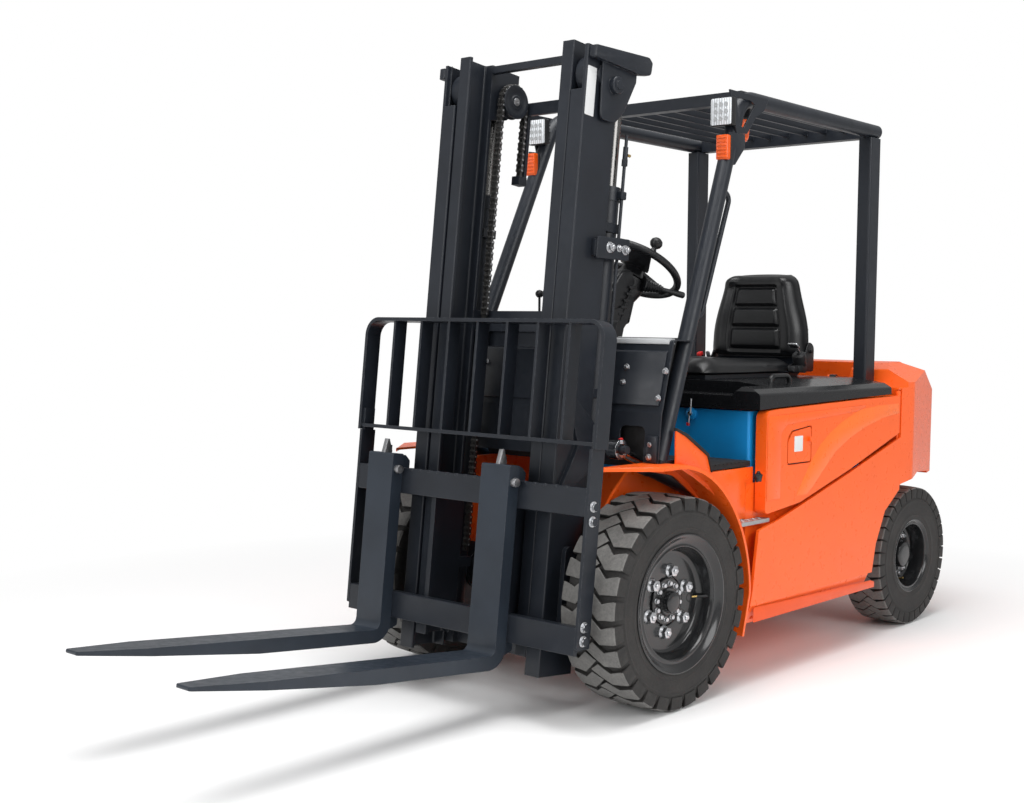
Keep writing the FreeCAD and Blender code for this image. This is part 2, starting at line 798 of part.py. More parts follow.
def make_guard_tubes():
    """Front legs that bend back into the roof's side rails."""
    tubes = []
    for name, side in SIDES:
        foot, knee = guard_leg_points(side)
        tail = (side * S.guard_rail_half, S.pillar_front + S.pillar_deep, S.guard_height)
        tubes.append(pipe(f"guard_tube_{name}", [foot, knee, tail], S.guard_tube, [110]))
    return node("guard_tubes", gather("guard_tubes_pair", tubes))


def make_guard_feet():
    """Foot plates of the front legs, bolted behind the cowl's edge."""
    pieces = []
    for name, side in SIDES:
        low, high = span(side, S.guard_rail_half + 26, S.guard_rail_half + 96)
        bottom = S.fender_height + S.seat_gap
        base = box(f"guard_base_{name}", (low, -32, bottom), (high, 46, bottom + 8))
        pieces.append(cut(f"guard_foot_{name}", base, [leg_clearance(f"foot_leg_{name}", side)]))
    return pieces


def make_guard_pillars():
    """Rear box pillars up to the roof, and the front legs' foot plates."""
    pieces = make_guard_feet()
    for name, side in SIDES:
        low, high = span(side, S.guard_rail_half + 25 - S.pillar_wide, S.guard_rail_half + 25)
        top = S.guard_height - S.guard_tube - S.seat_gap
        back = S.pillar_front + S.pillar_deep
        corners = [(low, S.pillar_front, 8), (high, S.pillar_front, 8), (high, back, 8), (low, back, 8)]
        pieces.append(prism(f"pillar_{name}", "XY", corners, 1008 + S.seat_gap, top))
    return node("guard_pillars", gather("pillars", pieces))


def make_guard_roof():
    """Front and rear roof beams with flat bars on edge between them."""
    half = S.guard_rail_half - S.guard_tube - S.seat_gap
    front_y = 560
    rear_y = S.pillar_front + S.pillar_deep - 50
    pieces = [
        box("roof_front", (-half, front_y, S.guard_height - 8), (half, front_y + 40, S.guard_height + 34)),
        box("roof_rear", (-half, rear_y, S.guard_height - 26), (half, rear_y + 44, S.guard_height + 24)),
    ]
    count = int(S.roof_bars.value)
    pitch = 2 * half / (S.roof_bars + 1)
    for index in range(count):
        middle = pitch * (index + 1) - half
        line = [
            (front_y + 20, S.guard_height + 2),
            (rear_y + 20, S.guard_height + 2),
            (rear_y + 20, S.guard_height + 34, 10),
            (front_y + 20, S.guard_height + 34, 10),
        ]
        pieces.append(prism(f"roof_bar_{index}", "YZ", line, middle - 5, middle + 5))
    for name, side in SIDES:
        low, high = span(side, half - 120, half - 0.5)
        corner = [
            (low, front_y + 38), (high, front_y + 38), ((high if side > 0 else low), front_y + 160, 10),
        ]
        pieces.append(prism(f"roof_gusset_{name}", "XY", corner, S.guard_height - 8, S.guard_height + 2))
    return node("guard_roof", fuse("roof_solid", pieces))


def make_grab_handle():
    """Grab loop on the left front leg."""
    foot, knee = guard_leg_points(1)
    ratios = (0.38, 0.74)
    points = []
    for ratio in ratios:
        points.append([foot[i] + (as_size(knee[i]) - foot[i]) * ratio for i in range(3)])
    low, high = points
    out = 55
    path = [
        (low[0], low[1] + 20, low[2] - 8),
        (low[0] - 4, low[1] + out + 8, low[2] + 10),
        (high[0] - 4, high[1] + out + 8, high[2] - 30),
        (high[0], high[1] + 20, high[2] - 8),
    ]
    loop = pipe("grab_loop", path, 9, [24, 24])
    return node("grab_handle", cut("grab_solid", loop, [leg_clearance("grab_leg", 1)]))


def make_lamps(label, ratio, forward, deep, wide, tall):
    """Square lamp bodies on short brackets ahead of the front legs."""
    pieces = []
    for name, side in SIDES:
        foot, knee = guard_leg_points(side)
        place = [as_size(foot[i]) + (as_size(knee[i]) - foot[i]) * ratio for i in range(3)]
        middle = place[0] - side * 8
        low = (middle - wide / 2, place[1] - forward, place[2] - tall / 2)
        high = (middle + wide / 2, place[1] - forward + deep, place[2] + tall / 2)
        shell = [
            (low[0], low[2], 12),
            (high[0], low[2], 12),
            (high[0], high[2], 12),
            (low[0], high[2], 12),
        ]
        shell_solid = prism(f"{label}_{name}", "XZ", shell, low[1], high[1])
        stem = box(
            f"{label}_stem_{name}", (middle - 8, high[1] - 4, place[2] - 8),
            (middle + 8, place[1] - 16, place[2] + 8),
        )
        body = fuse(f"{label}_body_{name}", [shell_solid, stem])
        pieces.append(cut(f"{label}_seat_{name}", body, [leg_clearance(f"{label}_leg_{name}", side)]))
    return pieces


def make_beacon():
    """Amber beacon hung under the roof behind its left front corner."""
    x = S.guard_rail_half - 90
    base = rod("beacon_base", "Z", (x, 640, S.guard_height - 46), 38, 40)
    dome = doc.addObject("Part::Cone", "beacon_dome")
    bind(dome, "Radius1", 36)
    bind(dome, "Radius2", 42)
    bind(dome, "Height", 92)
    shift(dome, (x, 640, S.guard_height - 138))
    arm = box("beacon_arm", (x - 14, 600, S.guard_height - 14), (x + 14, 650, S.guard_height - 8.3))
    return fuse("beacon_solid", [base, dome, arm])


# Battery, hood, seat, doors and counterweight


def make_battery():
    line = [
        (-S.battery_half, S.battery_front, 10),
        (S.battery_half, S.battery_front, 10),
        (S.battery_half, S.battery_front + S.battery_length, 10),
        (-S.battery_half, S.battery_front + S.battery_length, 10),
    ]
    return node("battery", prism("battery_solid", "XY", line, S.battery_low, S.battery_high))


def make_hood():
    """Moulded lid over the battery: a shallow tray turned over, with sloping sides."""
    low = S.battery_high + S.run_gap
    deck = S.hood_high - 18
    shell = [
        (-S.hood_half, low),
        (-S.hood_half, deck - 18, 12),
        (-S.hood_half + 34, deck, 20),
        (-S.hood_half + 180, S.hood_high, 60),
        (S.hood_half - 180, S.hood_high, 60),
        (S.hood_half - 34, deck, 20),
        (S.hood_half, deck - 18, 12),
        (S.hood_half, low),
        (S.hood_half - 12, low),
        (S.hood_half - 12, deck - 26),
        (S.hood_half - 40, deck - 14),
        (-S.hood_half + 40, deck - 14),
        (-S.hood_half + 12, deck - 26),
        (-S.hood_half + 12, low),
    ]
    front = S.battery_front - 14
    back = S.pillar_front - 25
    shape = prism("hood_shell", "XZ", shell, front, back)
    nose = [
        (front - 1, S.hood_high + 1),
        (front - 1, deck - 10),
        (front + 24, S.hood_high + 1),
    ]
    trims = [prism("hood_bevel", "YZ", nose, -S.hood_half - 1, S.hood_half + 1)]
    tray = S.hood_high - 43
    notch = [
        (-S.hood_half + 120, tray),
        (S.hood_half - 120, tray),
        (S.hood_half - 70, S.hood_high + 4),
        (-S.hood_half + 70, S.hood_high + 4),
    ]
    trims.append(prism("hood_notch", "XZ", notch, front - 1, front + 140))
    flank = [
        (front - 1, low - 5),
        (front - 1, low + 2),
        (560, low + 7),
        (1286, low + 27),
        (back + 1, low + 29),
        (back + 1, low - 5),
    ]
    for name, side in SIDES:
        low_x, high_x = span(side, S.cover_in - S.run_gap - 1, S.hood_half + 1)
        trims.append(prism(f"hood_flank_{name}", "YZ", flank, low_x, high_x))
    face = box("hood_front", (-S.hood_half + 12, front, low), (S.hood_half - 12, front + 12, deck - 12))
    floor = box("hood_tray", (-S.hood_half + 100, front, tray - 8), (S.hood_half - 100, front + 150, tray))
    riser = box(
        "hood_riser", (-S.hood_half + 60, front + 138, tray - 8),
        (S.hood_half - 60, front + 150, deck - 4),
    )
    tail = box("hood_back", (-S.hood_half + 12, back - 12, low + 40), (S.hood_half - 12, back, deck - 12))
    eyes = []
    bores = []
    for name, side in SIDES:
        low, high = span(side, 310, 338)
        eyes.append(rod(f"hood_eye_{name}", "X", (low, S.lid_pin_y, S.lid_pin_z), high - low, 14))
        bores.append(rod(
            f"hood_bore_{name}", "X", (low, S.lid_pin_y, S.lid_pin_z), high - low, 8 + S.seat_gap,
        ))
    lid = cut("hood_lid", fuse("hood_raw", [shape, face, floor, riser, tail, *eyes]), [*trims, *bores])
    x = S.hood_half - 110
    y = S.battery_front + 210
    z = S.hood_high - 24
    path = [(x, y, z - 6), (x, y + 6, z + 44), (x, y + 126, z + 44), (x, y + 132, z - 6)]
    return node("hood", fuse("hood_solid", [lid, pipe("handle_bar", path, 9, [24, 24])]))


def make_seat():
    """Seat frame, cushion and backrest on the hood."""
    base = S.hood_high + S.seat_gap
    tray = base + 16
    frame_line = [
        (630, base),
        (1268, base),
        (1334, 1118, 16),
        (1347, 1240),
        (1333.8, 1240),
        (1320.6, 1138),
        (1318.4, 1121),
        (1304, 1102, 10),
        (1246, tray, 10),
        (630, tray),
    ]
    node("seat_frame", prism("seat_frame_solid", "YZ", frame_line, -S.seat_half + 30, S.seat_half - 30))
    low = tray + S.seat_gap
    cushion_line = [
        (600, low, 18),
        (600, S.seat_height - 6, 24),
        (820, S.seat_height + 4, 300),
        (1200, S.seat_height - 8, 24),
        (1230, low),
    ]
    node("seat_cushion", prism("seat_cushion_solid", "YZ", cushion_line, -S.seat_half, S.seat_half))
    low = S.seat_height + 7
    back_line = [
        (1238, low, 24),
        (1318, low),
        (1362, low + 340, 30),
        (1290, low + 344, 36),
        (1262, low + 178, 60),
    ]
    return node("seat_back", prism("seat_back_solid", "YZ", back_line, -S.seat_half + 18, S.seat_half - 18))


def make_side_door(name, side):
    """Thick side cover over the battery, above the frame's slanting edge."""
    front = S.battery_front + 15
    back = S.door_pin_y
    top = S.battery_high + 2
    line = [
        (front, top, 30),
        (560, top + 5, 200),
        (1122, top + 20, 400),
        (back, top + 24),
        (back, 826),
        (1044, 708, 300),
        (690, 614, 20),
        (front, 592, 16),
    ]
    low, high = span(side, S.cover_in, S.body_half)
    outer = prism(f"door_block_{name}", "YZ", line, low, high)
    inner_low, inner_high = span(side, S.battery_half, S.body_half - S.plate)
    hollow_line = [
        (front + S.plate, top - 14, 20),
        (1122, top + 4, 400),
        (back - 12, top + 8),
        (back - 12, 848),
        (1044, 730, 300),
        (691, 640, 60),
        (front + S.plate, 614, 8),
    ]
    hollow = prism(f"door_hollow_{name}", "YZ", hollow_line, inner_low, inner_high)
    x = side * S.door_pin_x
    tools = [
        hollow,
        rod(f"door_bore_{name}", "Z", (x, back, DOOR_PIN_LOW + 15), 50, DOOR_PIN_RADIUS + S.seat_gap),
    ]
    tools.append(rod(
        f"door_top_bore_{name}", "Z", (x, back, DOOR_TOP_PIN_LOW - 5), 40, DOOR_PIN_RADIUS + S.seat_gap,
    ))
    edge = rod(f"door_edge_{name}", "Z", (x, back, 826), 170, S.body_half - S.door_pin_x)
    outer = fuse(f"door_raw_{name}", [outer, edge])
    if side > 0:
        hatch = charge_outline(S.run_gap)
        tools.append(prism("door_hatch", "YZ", hatch, S.body_half - 40, S.body_half + 10))
        tools.append(rod("door_flap_bore", "Z", (S.flap_pin_x, S.flap_pin_y, 748), 114, 2 + S.seat_gap))
    return node(f"side_door_{name}", cut(f"door_solid_{name}", outer, tools))


def charge_outline(grow):
    """Charge hatch outline, grown all round by a clearance."""
    front = S.flap_pin_y - S.run_gap
    return [
        (front - grow, 760 - grow, 10),
        (front + 152 + grow, 760 - grow, 10),
        (front + 152 + grow, 886 + grow, 10),
        (front + 28 - grow, 872 + grow, 24),
        (front - grow, 836 + grow * 3, 16),
    ]


def make_charge_door():
    """Small flap over the charging socket, flush in the left side cover."""
    flap = prism("charge_flap", "YZ", charge_outline(0), S.body_half - S.plate + 2, S.body_half)
    knob = rod("charge_knob", "X", (S.body_half - 2, 742, 842), 14, 9)
    pin = rod("charge_pin", "Z", (S.flap_pin_x, S.flap_pin_y, 750), 110, 2)
    return node("charge_door", fuse("charge_solid", [flap, knob, pin]))


def make_counterweight():
    """Cast counterweight: tapering back corners, sloped shoulders and arched undersides."""
    seam = S.seam
    rear = S.wheelbase + S.rear_overhang
    plan = [
        (-S.body_half, seam),
        (-S.body_half, seam + 110, 60),
        (-430, rear - 30, 60),
        (-250, rear, 200),
        (250, rear, 200),
        (430, rear - 30, 60),
        (S.body_half, seam + 110, 60),
        (S.body_half, seam),
    ]
    block = prism("weight_block", "XY", plan, S.weight_low, S.weight_high)
    half = S.body_half + 5
    shoulder = [
        (seam - 5, S.weight_high + 5),
        (seam - 5, 1008),
        (seam + 50, 1008),
        (seam + 72, S.weight_high - 30, 12),
        (seam + 170, S.weight_high - 4, 60),
        (rear - 170, S.weight_high - 6, 80),
        (rear - 40, S.weight_high - 90, 60),
        (rear + 10, S.weight_high - 200),
        (rear + 10, S.weight_high + 5),
    ]
    top_trim = prism("weight_top", "YZ", shoulder, -half, half)
    arch = [
        (seam - 5, S.weight_low - 5),
        (seam + 10, S.weight_low + 4),
        (S.wheelbase + 40, S.weight_low + 34, 200),
        (rear - 150, S.weight_low + 8),
        (rear - 150, S.weight_low - 5),
    ]
    tools = [top_trim]
    for name, side in SIDES:
        low, high = span(side, 250, half)
        tools.append(prism(f"weight_arch_{name}", "YZ", arch, low, high))
        slope = [
            (side * (S.body_half + 6), S.weight_high - 82),
            (side * (S.body_half - 180), S.weight_high + 6),
            (side * (S.body_half + 6), S.weight_high + 6),
        ]
        tools.append(prism(f"weight_shoulder_{name}", "XZ", slope, seam - 5, rear + 5))
        corner = [
            (seam + 250, S.weight_high + 6),
            (rear + 5, S.weight_high - 152),
            (rear + 5, S.weight_high + 6),
        ]
        low, high = span(side, S.body_half - 270, half)
        tools.append(prism(f"weight_corner_{name}", "YZ", corner, low, high))
    tools.append(box("weight_well", (-330, seam - 5, 780), (330, seam + 160, S.weight_high + 5)))
    jaw = box("weight_jaw", (-60, rear - 90, 690), (60, rear + 5, 760))
    pin_hole = rod("weight_pin", "Z", (0, rear - 45, 640), 180, 16)
    tools.extend([jaw, pin_hole])
    tow = box("weight_tow", (-90, rear - 150, S.weight_low - 40), (90, rear - 12, S.weight_low + 5))
    for name, side in SIDES:
        low, high = span(side, 300 - S.seat_gap, 372 + S.seat_gap)
        tools.append(box(
            f"weight_lamp_{name}", (low, rear - 40 - S.seat_gap, 880 - S.seat_gap),
            (high, rear + 5, 970 + S.seat_gap),
        ))
    solid = fuse("weight_with_tow", [block, tow])
    cast = cut("weight_cast", solid, tools)
    joined = [cast, *make_axle_mount()]
    for name, side in SIDES:
        x = side * S.door_pin_x
        joined.append(box(f"door_lug_{name}", (x - 8, S.door_pin_y - 8, 1001), (x + 8, seam + 10, 1008)))
        joined.append(rod(
            f"door_top_pin_{name}", "Z", (x, S.door_pin_y, DOOR_TOP_PIN_LOW), 24, DOOR_PIN_RADIUS,
        ))
    return node("counterweight", fuse("weight_solid", joined))


def make_rear_lamps():
    """Round-cornered lamp clusters let into the counterweight's back corners."""
    pieces = []
    rear = S.wheelbase + S.rear_overhang
    for name, side in SIDES:
        line = [(u, v, 10) for u, v in (
            (side * 300, 880), (side * 372, 880), (side * 372, 970), (side * 300, 970))]
        pieces.append(prism(f"rear_lamp_{name}", "XZ", line, rear - 40, rear - 4))
    return node("rear_lamps", gather("rear_lamp_pair", pieces))


# Axles and wheels


def make_drive_axle():
    """Front axle: housing with the drive unit, and the sleeves that the mast pivots on."""
    z = FRONT_AXLE_Z
    half = S.front_track / 2
    tube = rod("axle_tube", "X", (-half + 62, 0, z), 2 * half - 124, 60)
    pieces = [tube]
    for name, side in SIDES:
        low, high = span(side, 320, 349)
        pieces.append(rod(f"axle_sleeve_{name}", "X", (low, 0, z), high - low, 70))
        low, high = span(side, 350, 372)
        pieces.append(box(f"axle_pad_{name}", (low, -58, z - 58), (high, 58, z + 61.7)))
        low, high = span(side, half - 62, half - 10)
        pieces.append(rod(f"axle_spindle_{name}", "X", (low, 0, z), high - low, 34))
        low, high = span(side, half - 110, half - 74)
        pieces.append(rod(f"axle_brake_{name}", "X", (low, 0, z), high - low, 150))
    case = turned("axle_case", "X", [
        (-150, 0), (-150, 90, 20), (-90, 150, 30), (70, 150, 30), (130, 100, 20), (130, 0)])
    bind(case, "Placement.Base.z", z)
    pieces.append(case)
    pieces.append(rod("drive_motor", "Y", (-20, 100, z + 10), 260, 105))
    return node("drive_axle", fuse("drive_axle_solid", pieces))


def lug_outline():
    """One arrow-shaped lug of the tread's left row, seen from outside (across, along)."""
    half = S.front_tyre_width / 2
    pitch = math.pi * S.front_tyre_dia.value / S.lug_count.value
    reach = pitch * 0.40
    return [
        (9, -reach * 0.45),
        (half * 0.46, -reach),
        (half + 1, -reach * 0.74),
        (half + 1, reach * 0.74),
        (half * 0.46, reach * 0.52),
        (9, reach * 0.98),
    ]


def make_front_tyre(name, side):
    """Tyre with two staggered rows of lugs round a plain carcass."""
    top = S.front_tyre_dia / 2
    base = top - S.lug_depth
    half = S.front_tyre_width / 2
    bead = S.front_rim_dia / 2 + S.seat_gap
    outline = [
        (-half + 20, bead),
        (-half + 8, bead + 22, 12),
        (-half, bead + 58, 30),
        (-half + 2, base - 16, 12),
        (-half + 16, base, 10),
        (half - 16, base, 10),
        (half - 2, base - 16, 12),
        (half, bead + 58, 30),
        (half - 8, bead + 22, 12),
        (half - 20, bead),
    ]
    tyre = turned(f"front_tyre_{name}_body", "X", outline)
    doc.recompute()
    tread = []
    for row, flip, turn in (("outer", 1, as_size(0)), ("inner", -1, 180 / S.lug_count)):
        sketch = new_sketch(tyre, "XY")
        across = -(base - 6) * sine(turn)
        out = (base - 6) * cosine(turn)
        spin = f"rotation(vector(1; 0; 0); {turn.text})"
        sketch.setExpression("AttachmentOffset", f"placement(vector(0; {across.text}; {out.text}); {spin})")
        draw_outline(sketch, [(flip * side * u, v) for u, v in lug_outline()])
        pad = tyre.newObject("PartDesign::Pad", f"lug_{row}_{name}")
        pad.Profile = sketch
        bind(pad, "Length", S.lug_depth + 6)
        tread.append(pad)
    doc.recompute()
    ring = tyre.newObject("PartDesign::PolarPattern", f"tread_{name}")
    ring.Originals = tread
    axis = [item for item in tyre.Origin.OriginFeatures if item.Role == "X_Axis"][0]
    ring.Axis = (axis, [""])
    ring.Angle = 360
    bind(ring, "Occurrences", S.lug_count)
    tyre.Tip = ring
    return node(f"front_tyre_{name}", tyre, at=(side * S.front_track / 2, 0, FRONT_AXLE_Z))


def make_front_rim(name, side):
    """Dished rim with its disc set in from the outer flange, six nuts and a hub cap."""
    seat = S.front_rim_dia / 2
    half = S.front_tyre_width / 2
    bore = 34 + S.seat_gap
    outline = [
        (half - 18, seat, 3),
        (half - 6, seat + 1, 3),
        (half - 6, seat - 12, 3),
        (half - 22, seat - 22, 6),
        (half - 30, seat - 40, 8),
        (half - 66, seat - 48, 10),
        (half - 70, 60, 6),
        (half - 38, 52, 6),
        (half - 36, 0),
        (half - 60, 0),
        (half - 60, bore),
        (-28, bore),
        (-28, 78, 4),
        (half - 82, 84, 6),
        (half - 80, seat - 62, 10),
        (-half + 34, seat - 34, 10),
        (-half + 22, seat - 20, 6),
        (-half + 6, seat - 12, 3),
        (-half + 6, seat + 1, 3),
        (-half + 18, seat, 3),
    ]
    rim = turned(f"front_rim_{name}_body", "X", [(side * u, v, *rest) for u, v, *rest in outline])
    pieces = [rim]
    start = half - 72
    for index in range(6):
        angle = 60 * index + 30
        y = 102 * sine(angle)
        z = 102 * cosine(angle)
        low, high = span(side, start, half - 48)
        nut = doc.addObject("Part::Prism", f"front_nut_{name}_{index}")
        nut.Polygon = 6
        bind(nut, "Circumradius", 19)
        bind(nut, "Height", as_size(high) - low)
        nut.Placement = FreeCAD.Placement(Vector(), TURNS["X"])
        pieces.append(shift(nut, (low, y, z)))
    return node(
        f"front_rim_{name}", fuse(f"front_rim_{name}_solid", pieces),
        at=(side * S.front_track / 2, 0, FRONT_AXLE_Z),
    )


def make_rear_tyre(name, side):
    """Steered tyre with shoulder notches."""
    top = S.rear_tyre_dia / 2
    half = S.rear_tyre_width / 2
    bead = S.rear_rim_dia / 2 + S.seat_gap
    outline = [
        (-half + 26, bead),
        (-half + 8, bead + 24, 14),
        (-half, bead + 66, 40),
        (-half + 6, top - 14, 14),
        (-half + 20, top, 12),
        (half - 20, top, 12),
        (half - 6, top - 14, 14),
        (half, bead + 66, 40),
        (half - 8, bead + 24, 14),
        (half - 26, bead),
    ]
    tyre = turned(f"rear_tyre_{name}_body", "X", outline)
    doc.recompute()
    sketch = new_sketch(tyre, "XY")
    bind(sketch, "AttachmentOffset.Base.z", top - 12)
    for flip in (1, -1):
        slot = [
            (flip * (half - 40), -5),
            (flip * (half + 6), -5),
            (flip * (half + 6), 5),
            (flip * (half - 40), 5),
        ]
        draw_outline(sketch, slot)
    notch = tyre.newObject("PartDesign::Pocket", f"notch_{name}")
    notch.Profile = sketch
    notch.Reversed = True
    bind(notch, "Length", 30)
    doc.recompute()
    ring = tyre.newObject("PartDesign::PolarPattern", f"notches_{name}")
    ring.Originals = [notch]
    axis = [item for item in tyre.Origin.OriginFeatures if item.Role == "X_Axis"][0]
    ring.Axis = (axis, [""])
    ring.Angle = 360
    bind(ring, "Occurrences", S.rib_count)
    tyre.Tip = ring
    return node(f"rear_tyre_{name}", tyre, at=(side * S.rear_track / 2, S.wheelbase, REAR_AXLE_Z))


def make_rear_rim(name, side):
    """Small rim with a deep-set disc and its hub."""
    seat = S.rear_rim_dia / 2
    half = S.rear_tyre_width / 2
    bore = 24 + S.seat_gap
    outline = [
        (half - 26, seat, 3),
        (half - 12, seat + 1, 3),
        (half - 12, seat - 8, 3),
        (half - 26, seat - 16, 4),
        (half - 56, seat - 24, 6),
        (half - 70, 96, 8),
        (half - 72, 62, 6),
        (half - 30, 50, 6),
        (half - 28, 0),
        (half - 52, 0),
        (half - 52, bore),
        (-52, bore),
        (-52, 66, 4),
        (half - 88, 70, 4),
        (half - 84, seat - 34, 6),
        (-half + 30, seat - 22, 6),
        (-half + 12, seat - 8, 3),
        (-half + 12, seat + 1, 3),
        (-half + 26, seat, 3),
    ]
    rim = turned(f"rear_rim_{name}_body", "X", [(side * u, v, *rest) for u, v, *rest in outline])
    pieces = [rim]
    for index in range(5):
        angle = 72 * index
        low, high = span(side, half - 74, half - 56)
        nut = doc.addObject("Part::Prism", f"rear_nut_{name}_{index}")
        nut.Polygon = 6
        bind(nut, "Circumradius", 13)
        bind(nut, "Height", as_size(high) - low)
        nut.Placement = FreeCAD.Placement(Vector(), TURNS["X"])
        pieces.append(shift(nut, (low, 78 * sine(angle), 78 * cosine(angle))))
    return node(
        f"rear_rim_{name}", fuse(f"rear_rim_{name}_solid", pieces),
        at=(side * S.rear_track / 2, S.wheelbase, REAR_AXLE_Z),
    )


def make_steer_axle():
    """Rear axle beam with forked ends for the knuckles and the steering cylinder."""
    z = REAR_AXLE_Z
    end = S.kingpin_half
    beam_line = [
        (-end + 70, z - 50, 20),
        (end - 70, z - 50, 20),
        (end - 70, z + 50, 20),
        (-end + 70, z + 50, 20),
    ]
    beam = prism("steer_beam", "XZ", beam_line, S.wheelbase - 38, S.wheelbase + 38)
    pieces = [beam]
    for name, side in SIDES:
        for level, low, high in (("low", -92, -66), ("high", 66, 92)):
            lower, upper = span(side, end - 110, end)
            pieces.append(box(
                f"yoke_{level}_{name}", (lower, S.wheelbase - 26, z + low),
                (upper, S.wheelbase + 26, z + high),
            ))
            pieces.append(rod(
                f"yoke_eye_{level}_{name}", "Z", (side * end, S.wheelbase, z + low), high - low, 26,
            ))
        lower, upper = span(side, end - 110, end - 66)
        pieces.append(box(
            f"yoke_web_{name}", (lower, S.wheelbase - 26, z - 92), (upper, S.wheelbase + 26, z + 92),
        ))
    pieces.append(box("steer_mount", (-50, S.wheelbase - 38, z + 40), (50, S.wheelbase + 38, z + 90)))
    solid = fuse("steer_axle_raw", pieces)
    holes = [rod("steer_pivot_bore", "Y", (0, S.wheelbase - 60, z + 65), 120, 18 + S.seat_gap)]
    for name, side in SIDES:
        holes.append(rod(
            f"yoke_bore_{name}", "Z", (side * end, S.wheelbase, z - 100), 200, 17 + S.seat_gap,
        ))
    return node("steer_axle", cut("steer_axle_solid", solid, holes))


def make_axle_mount():
    """Pivot block that hangs the rear axle under the counterweight."""
    z = REAR_AXLE_Z
    pieces = []
    for name, start in (("front", -86), ("back", 54)):
        line = [
            (-60, S.weight_low + 5),
            (-60, z + 120, 20),
            (-40, z + 30, 30),
            (40, z + 30, 30),
            (60, z + 120, 20),
            (60, S.weight_low + 5),
        ]
        pieces.append(prism(f"mount_ear_{name}", "XZ", line, S.wheelbase + start, S.wheelbase + start + 30))
    pieces.append(box(
        "mount_roof", (-60, S.wheelbase - 86, S.weight_low - 60),
        (60, S.wheelbase + 84, S.weight_low + 5),
    ))
    pieces.append(rod("mount_pin", "Y", (0, S.wheelbase - 86, z + 65), 170, 18))
    return pieces


def make_knuckle(name, side):
    """Steering knuckle: kingpin, body and wheel spindle."""
    z = REAR_AXLE_Z
    end = S.kingpin_half
    half = S.rear_tyre_width / 2
    wheel = S.rear_track / 2
    pin = rod(f"kingpin_{name}", "Z", (side * end, S.wheelbase, z - 96), 192, 17)
    block = rod(f"knuckle_block_{name}", "Z", (side * end, S.wheelbase, z - 60), 120, 30)
    low, high = span(side, end, wheel + half - 58)
    spindle = rod(f"spindle_{name}", "X", (low, S.wheelbase, z), as_size(high) - low, 24)
    low, high = span(side, end, wheel - 56)
    collar = rod(f"spindle_collar_{name}", "X", (low, S.wheelbase, z), as_size(high) - low, 42)
    arm_line = [
        (side * (end - 14), S.wheelbase),
        (side * (end + 16), S.wheelbase),
        (side * (end + 24), S.wheelbase + 84, 10),
        (side * end, S.wheelbase + 84, 10),
    ]
    arm = prism(f"knuckle_arm_{name}", "XY", arm_line, z - 60, z - 44)
    return node(f"knuckle_{name}", fuse(f"knuckle_solid_{name}", [pin, block, spindle, collar, arm]))


# Mast, in the upright mast frame


def channel(name, side, half, front, depth, reach, low, high):
    """One upright: a channel that opens towards the middle."""
    wall = S.web
    corners = [
        (half, -front, 4),
        (half, -front + depth, 4),
        (half - reach, -front + depth, 4),
        (half - reach, -front + depth - wall, 4),
        (half - wall, -front + depth - wall, 8),
        (half - wall, -front + wall, 8),
        (half - reach, -front + wall, 4),
        (half - reach, -front, 4),
    ]
    if side < 0:
        corners = [(-u, v, r) for u, v, r in corners]
    return prism(name, "XY", corners, low, high)


def make_outer_uprights():
    """Fixed channels with a top roller in a cut-down front flange, axle shoes and tilt ears."""
    roller = S.outer_depth / 2 - S.web - 1
    pieces = []
    for name, side in SIDES:
        raw = channel(
            f"outer_{name}", side, S.outer_half, S.outer_front, S.outer_depth, OUTER_REACH, S.outer_foot,
            S.outer_top,
        )
        low, high = span(side, S.outer_half - OUTER_REACH - 5, S.outer_half - S.web)
        notch = box(
            f"outer_notch_{name}", (low, -S.outer_front - 2, S.outer_top - 140),
            (high, -S.outer_front + S.web, S.outer_top + 5),
        )
        low, high = span(side, S.inner_half + S.run_gap + 2, S.outer_half + 10)
        stub = rod(
            f"outer_roller_pin_{name}", "X", (low, OUTER_MID, S.outer_top - 80), as_size(high) - low, 30,
        )
        low, high = span(side, S.inner_half + S.run_gap + 2, S.outer_half - S.web - 9)
        wheel = rod(
            f"outer_roller_{name}", "X", (low, OUTER_MID, S.outer_top - 80), as_size(high) - low, roller,
        )
        low, high = span(side, S.outer_half - 0.5, S.outer_half + 16)
        shoe_line = [
            (OUTER_BACK - 90, -170, 20),
            (OUTER_BACK + 20, -150, 30),
            (30, -96, 30),
            (96, -60, 30),
            (96, 30, 30),
            (60, 88, 30),
            (OUTER_BACK + 30, 118, 30),
            (OUTER_BACK - 90, 170, 20),
        ]
        shoe = prism(f"mast_shoe_{name}", "YZ", shoe_line, low, high, holes=[(0, 0, 70 + S.seat_gap)])
        low, high = span(side, S.outer_half - 0.5, S.outer_half + 16)
        ear_line = [
            (-S.outer_front + 12, 640, 12),
            (-S.outer_front + 44, 640, 20),
            (TILT_PIN_Y + 34, TILT_PIN_Z + 34, 30),
            (TILT_PIN_Y + 34, TILT_PIN_Z - 34, 30),
            (-S.outer_front + 44, 330, 20),
            (-S.outer_front + 12, 330, 12),
            (-S.outer_front + 86, TILT_PIN_Z, 30),
        ]
        ear = prism(f"tilt_ear_{name}", "YZ", ear_line, low, high)
        low, high = span(side, S.outer_half, S.tilt_half + 44)
        pin = rod(f"tilt_pin_{name}", "X", (low, TILT_PIN_Y, TILT_PIN_Z), as_size(high) - low, 13)
        pieces.append(fuse(
            f"outer_upright_{name}",
            [cut(f"outer_body_{name}", raw, [notch]), stub, wheel, shoe, ear, pin],
        ))
    return node("outer_uprights", gather("outer_pair", pieces), "mast")


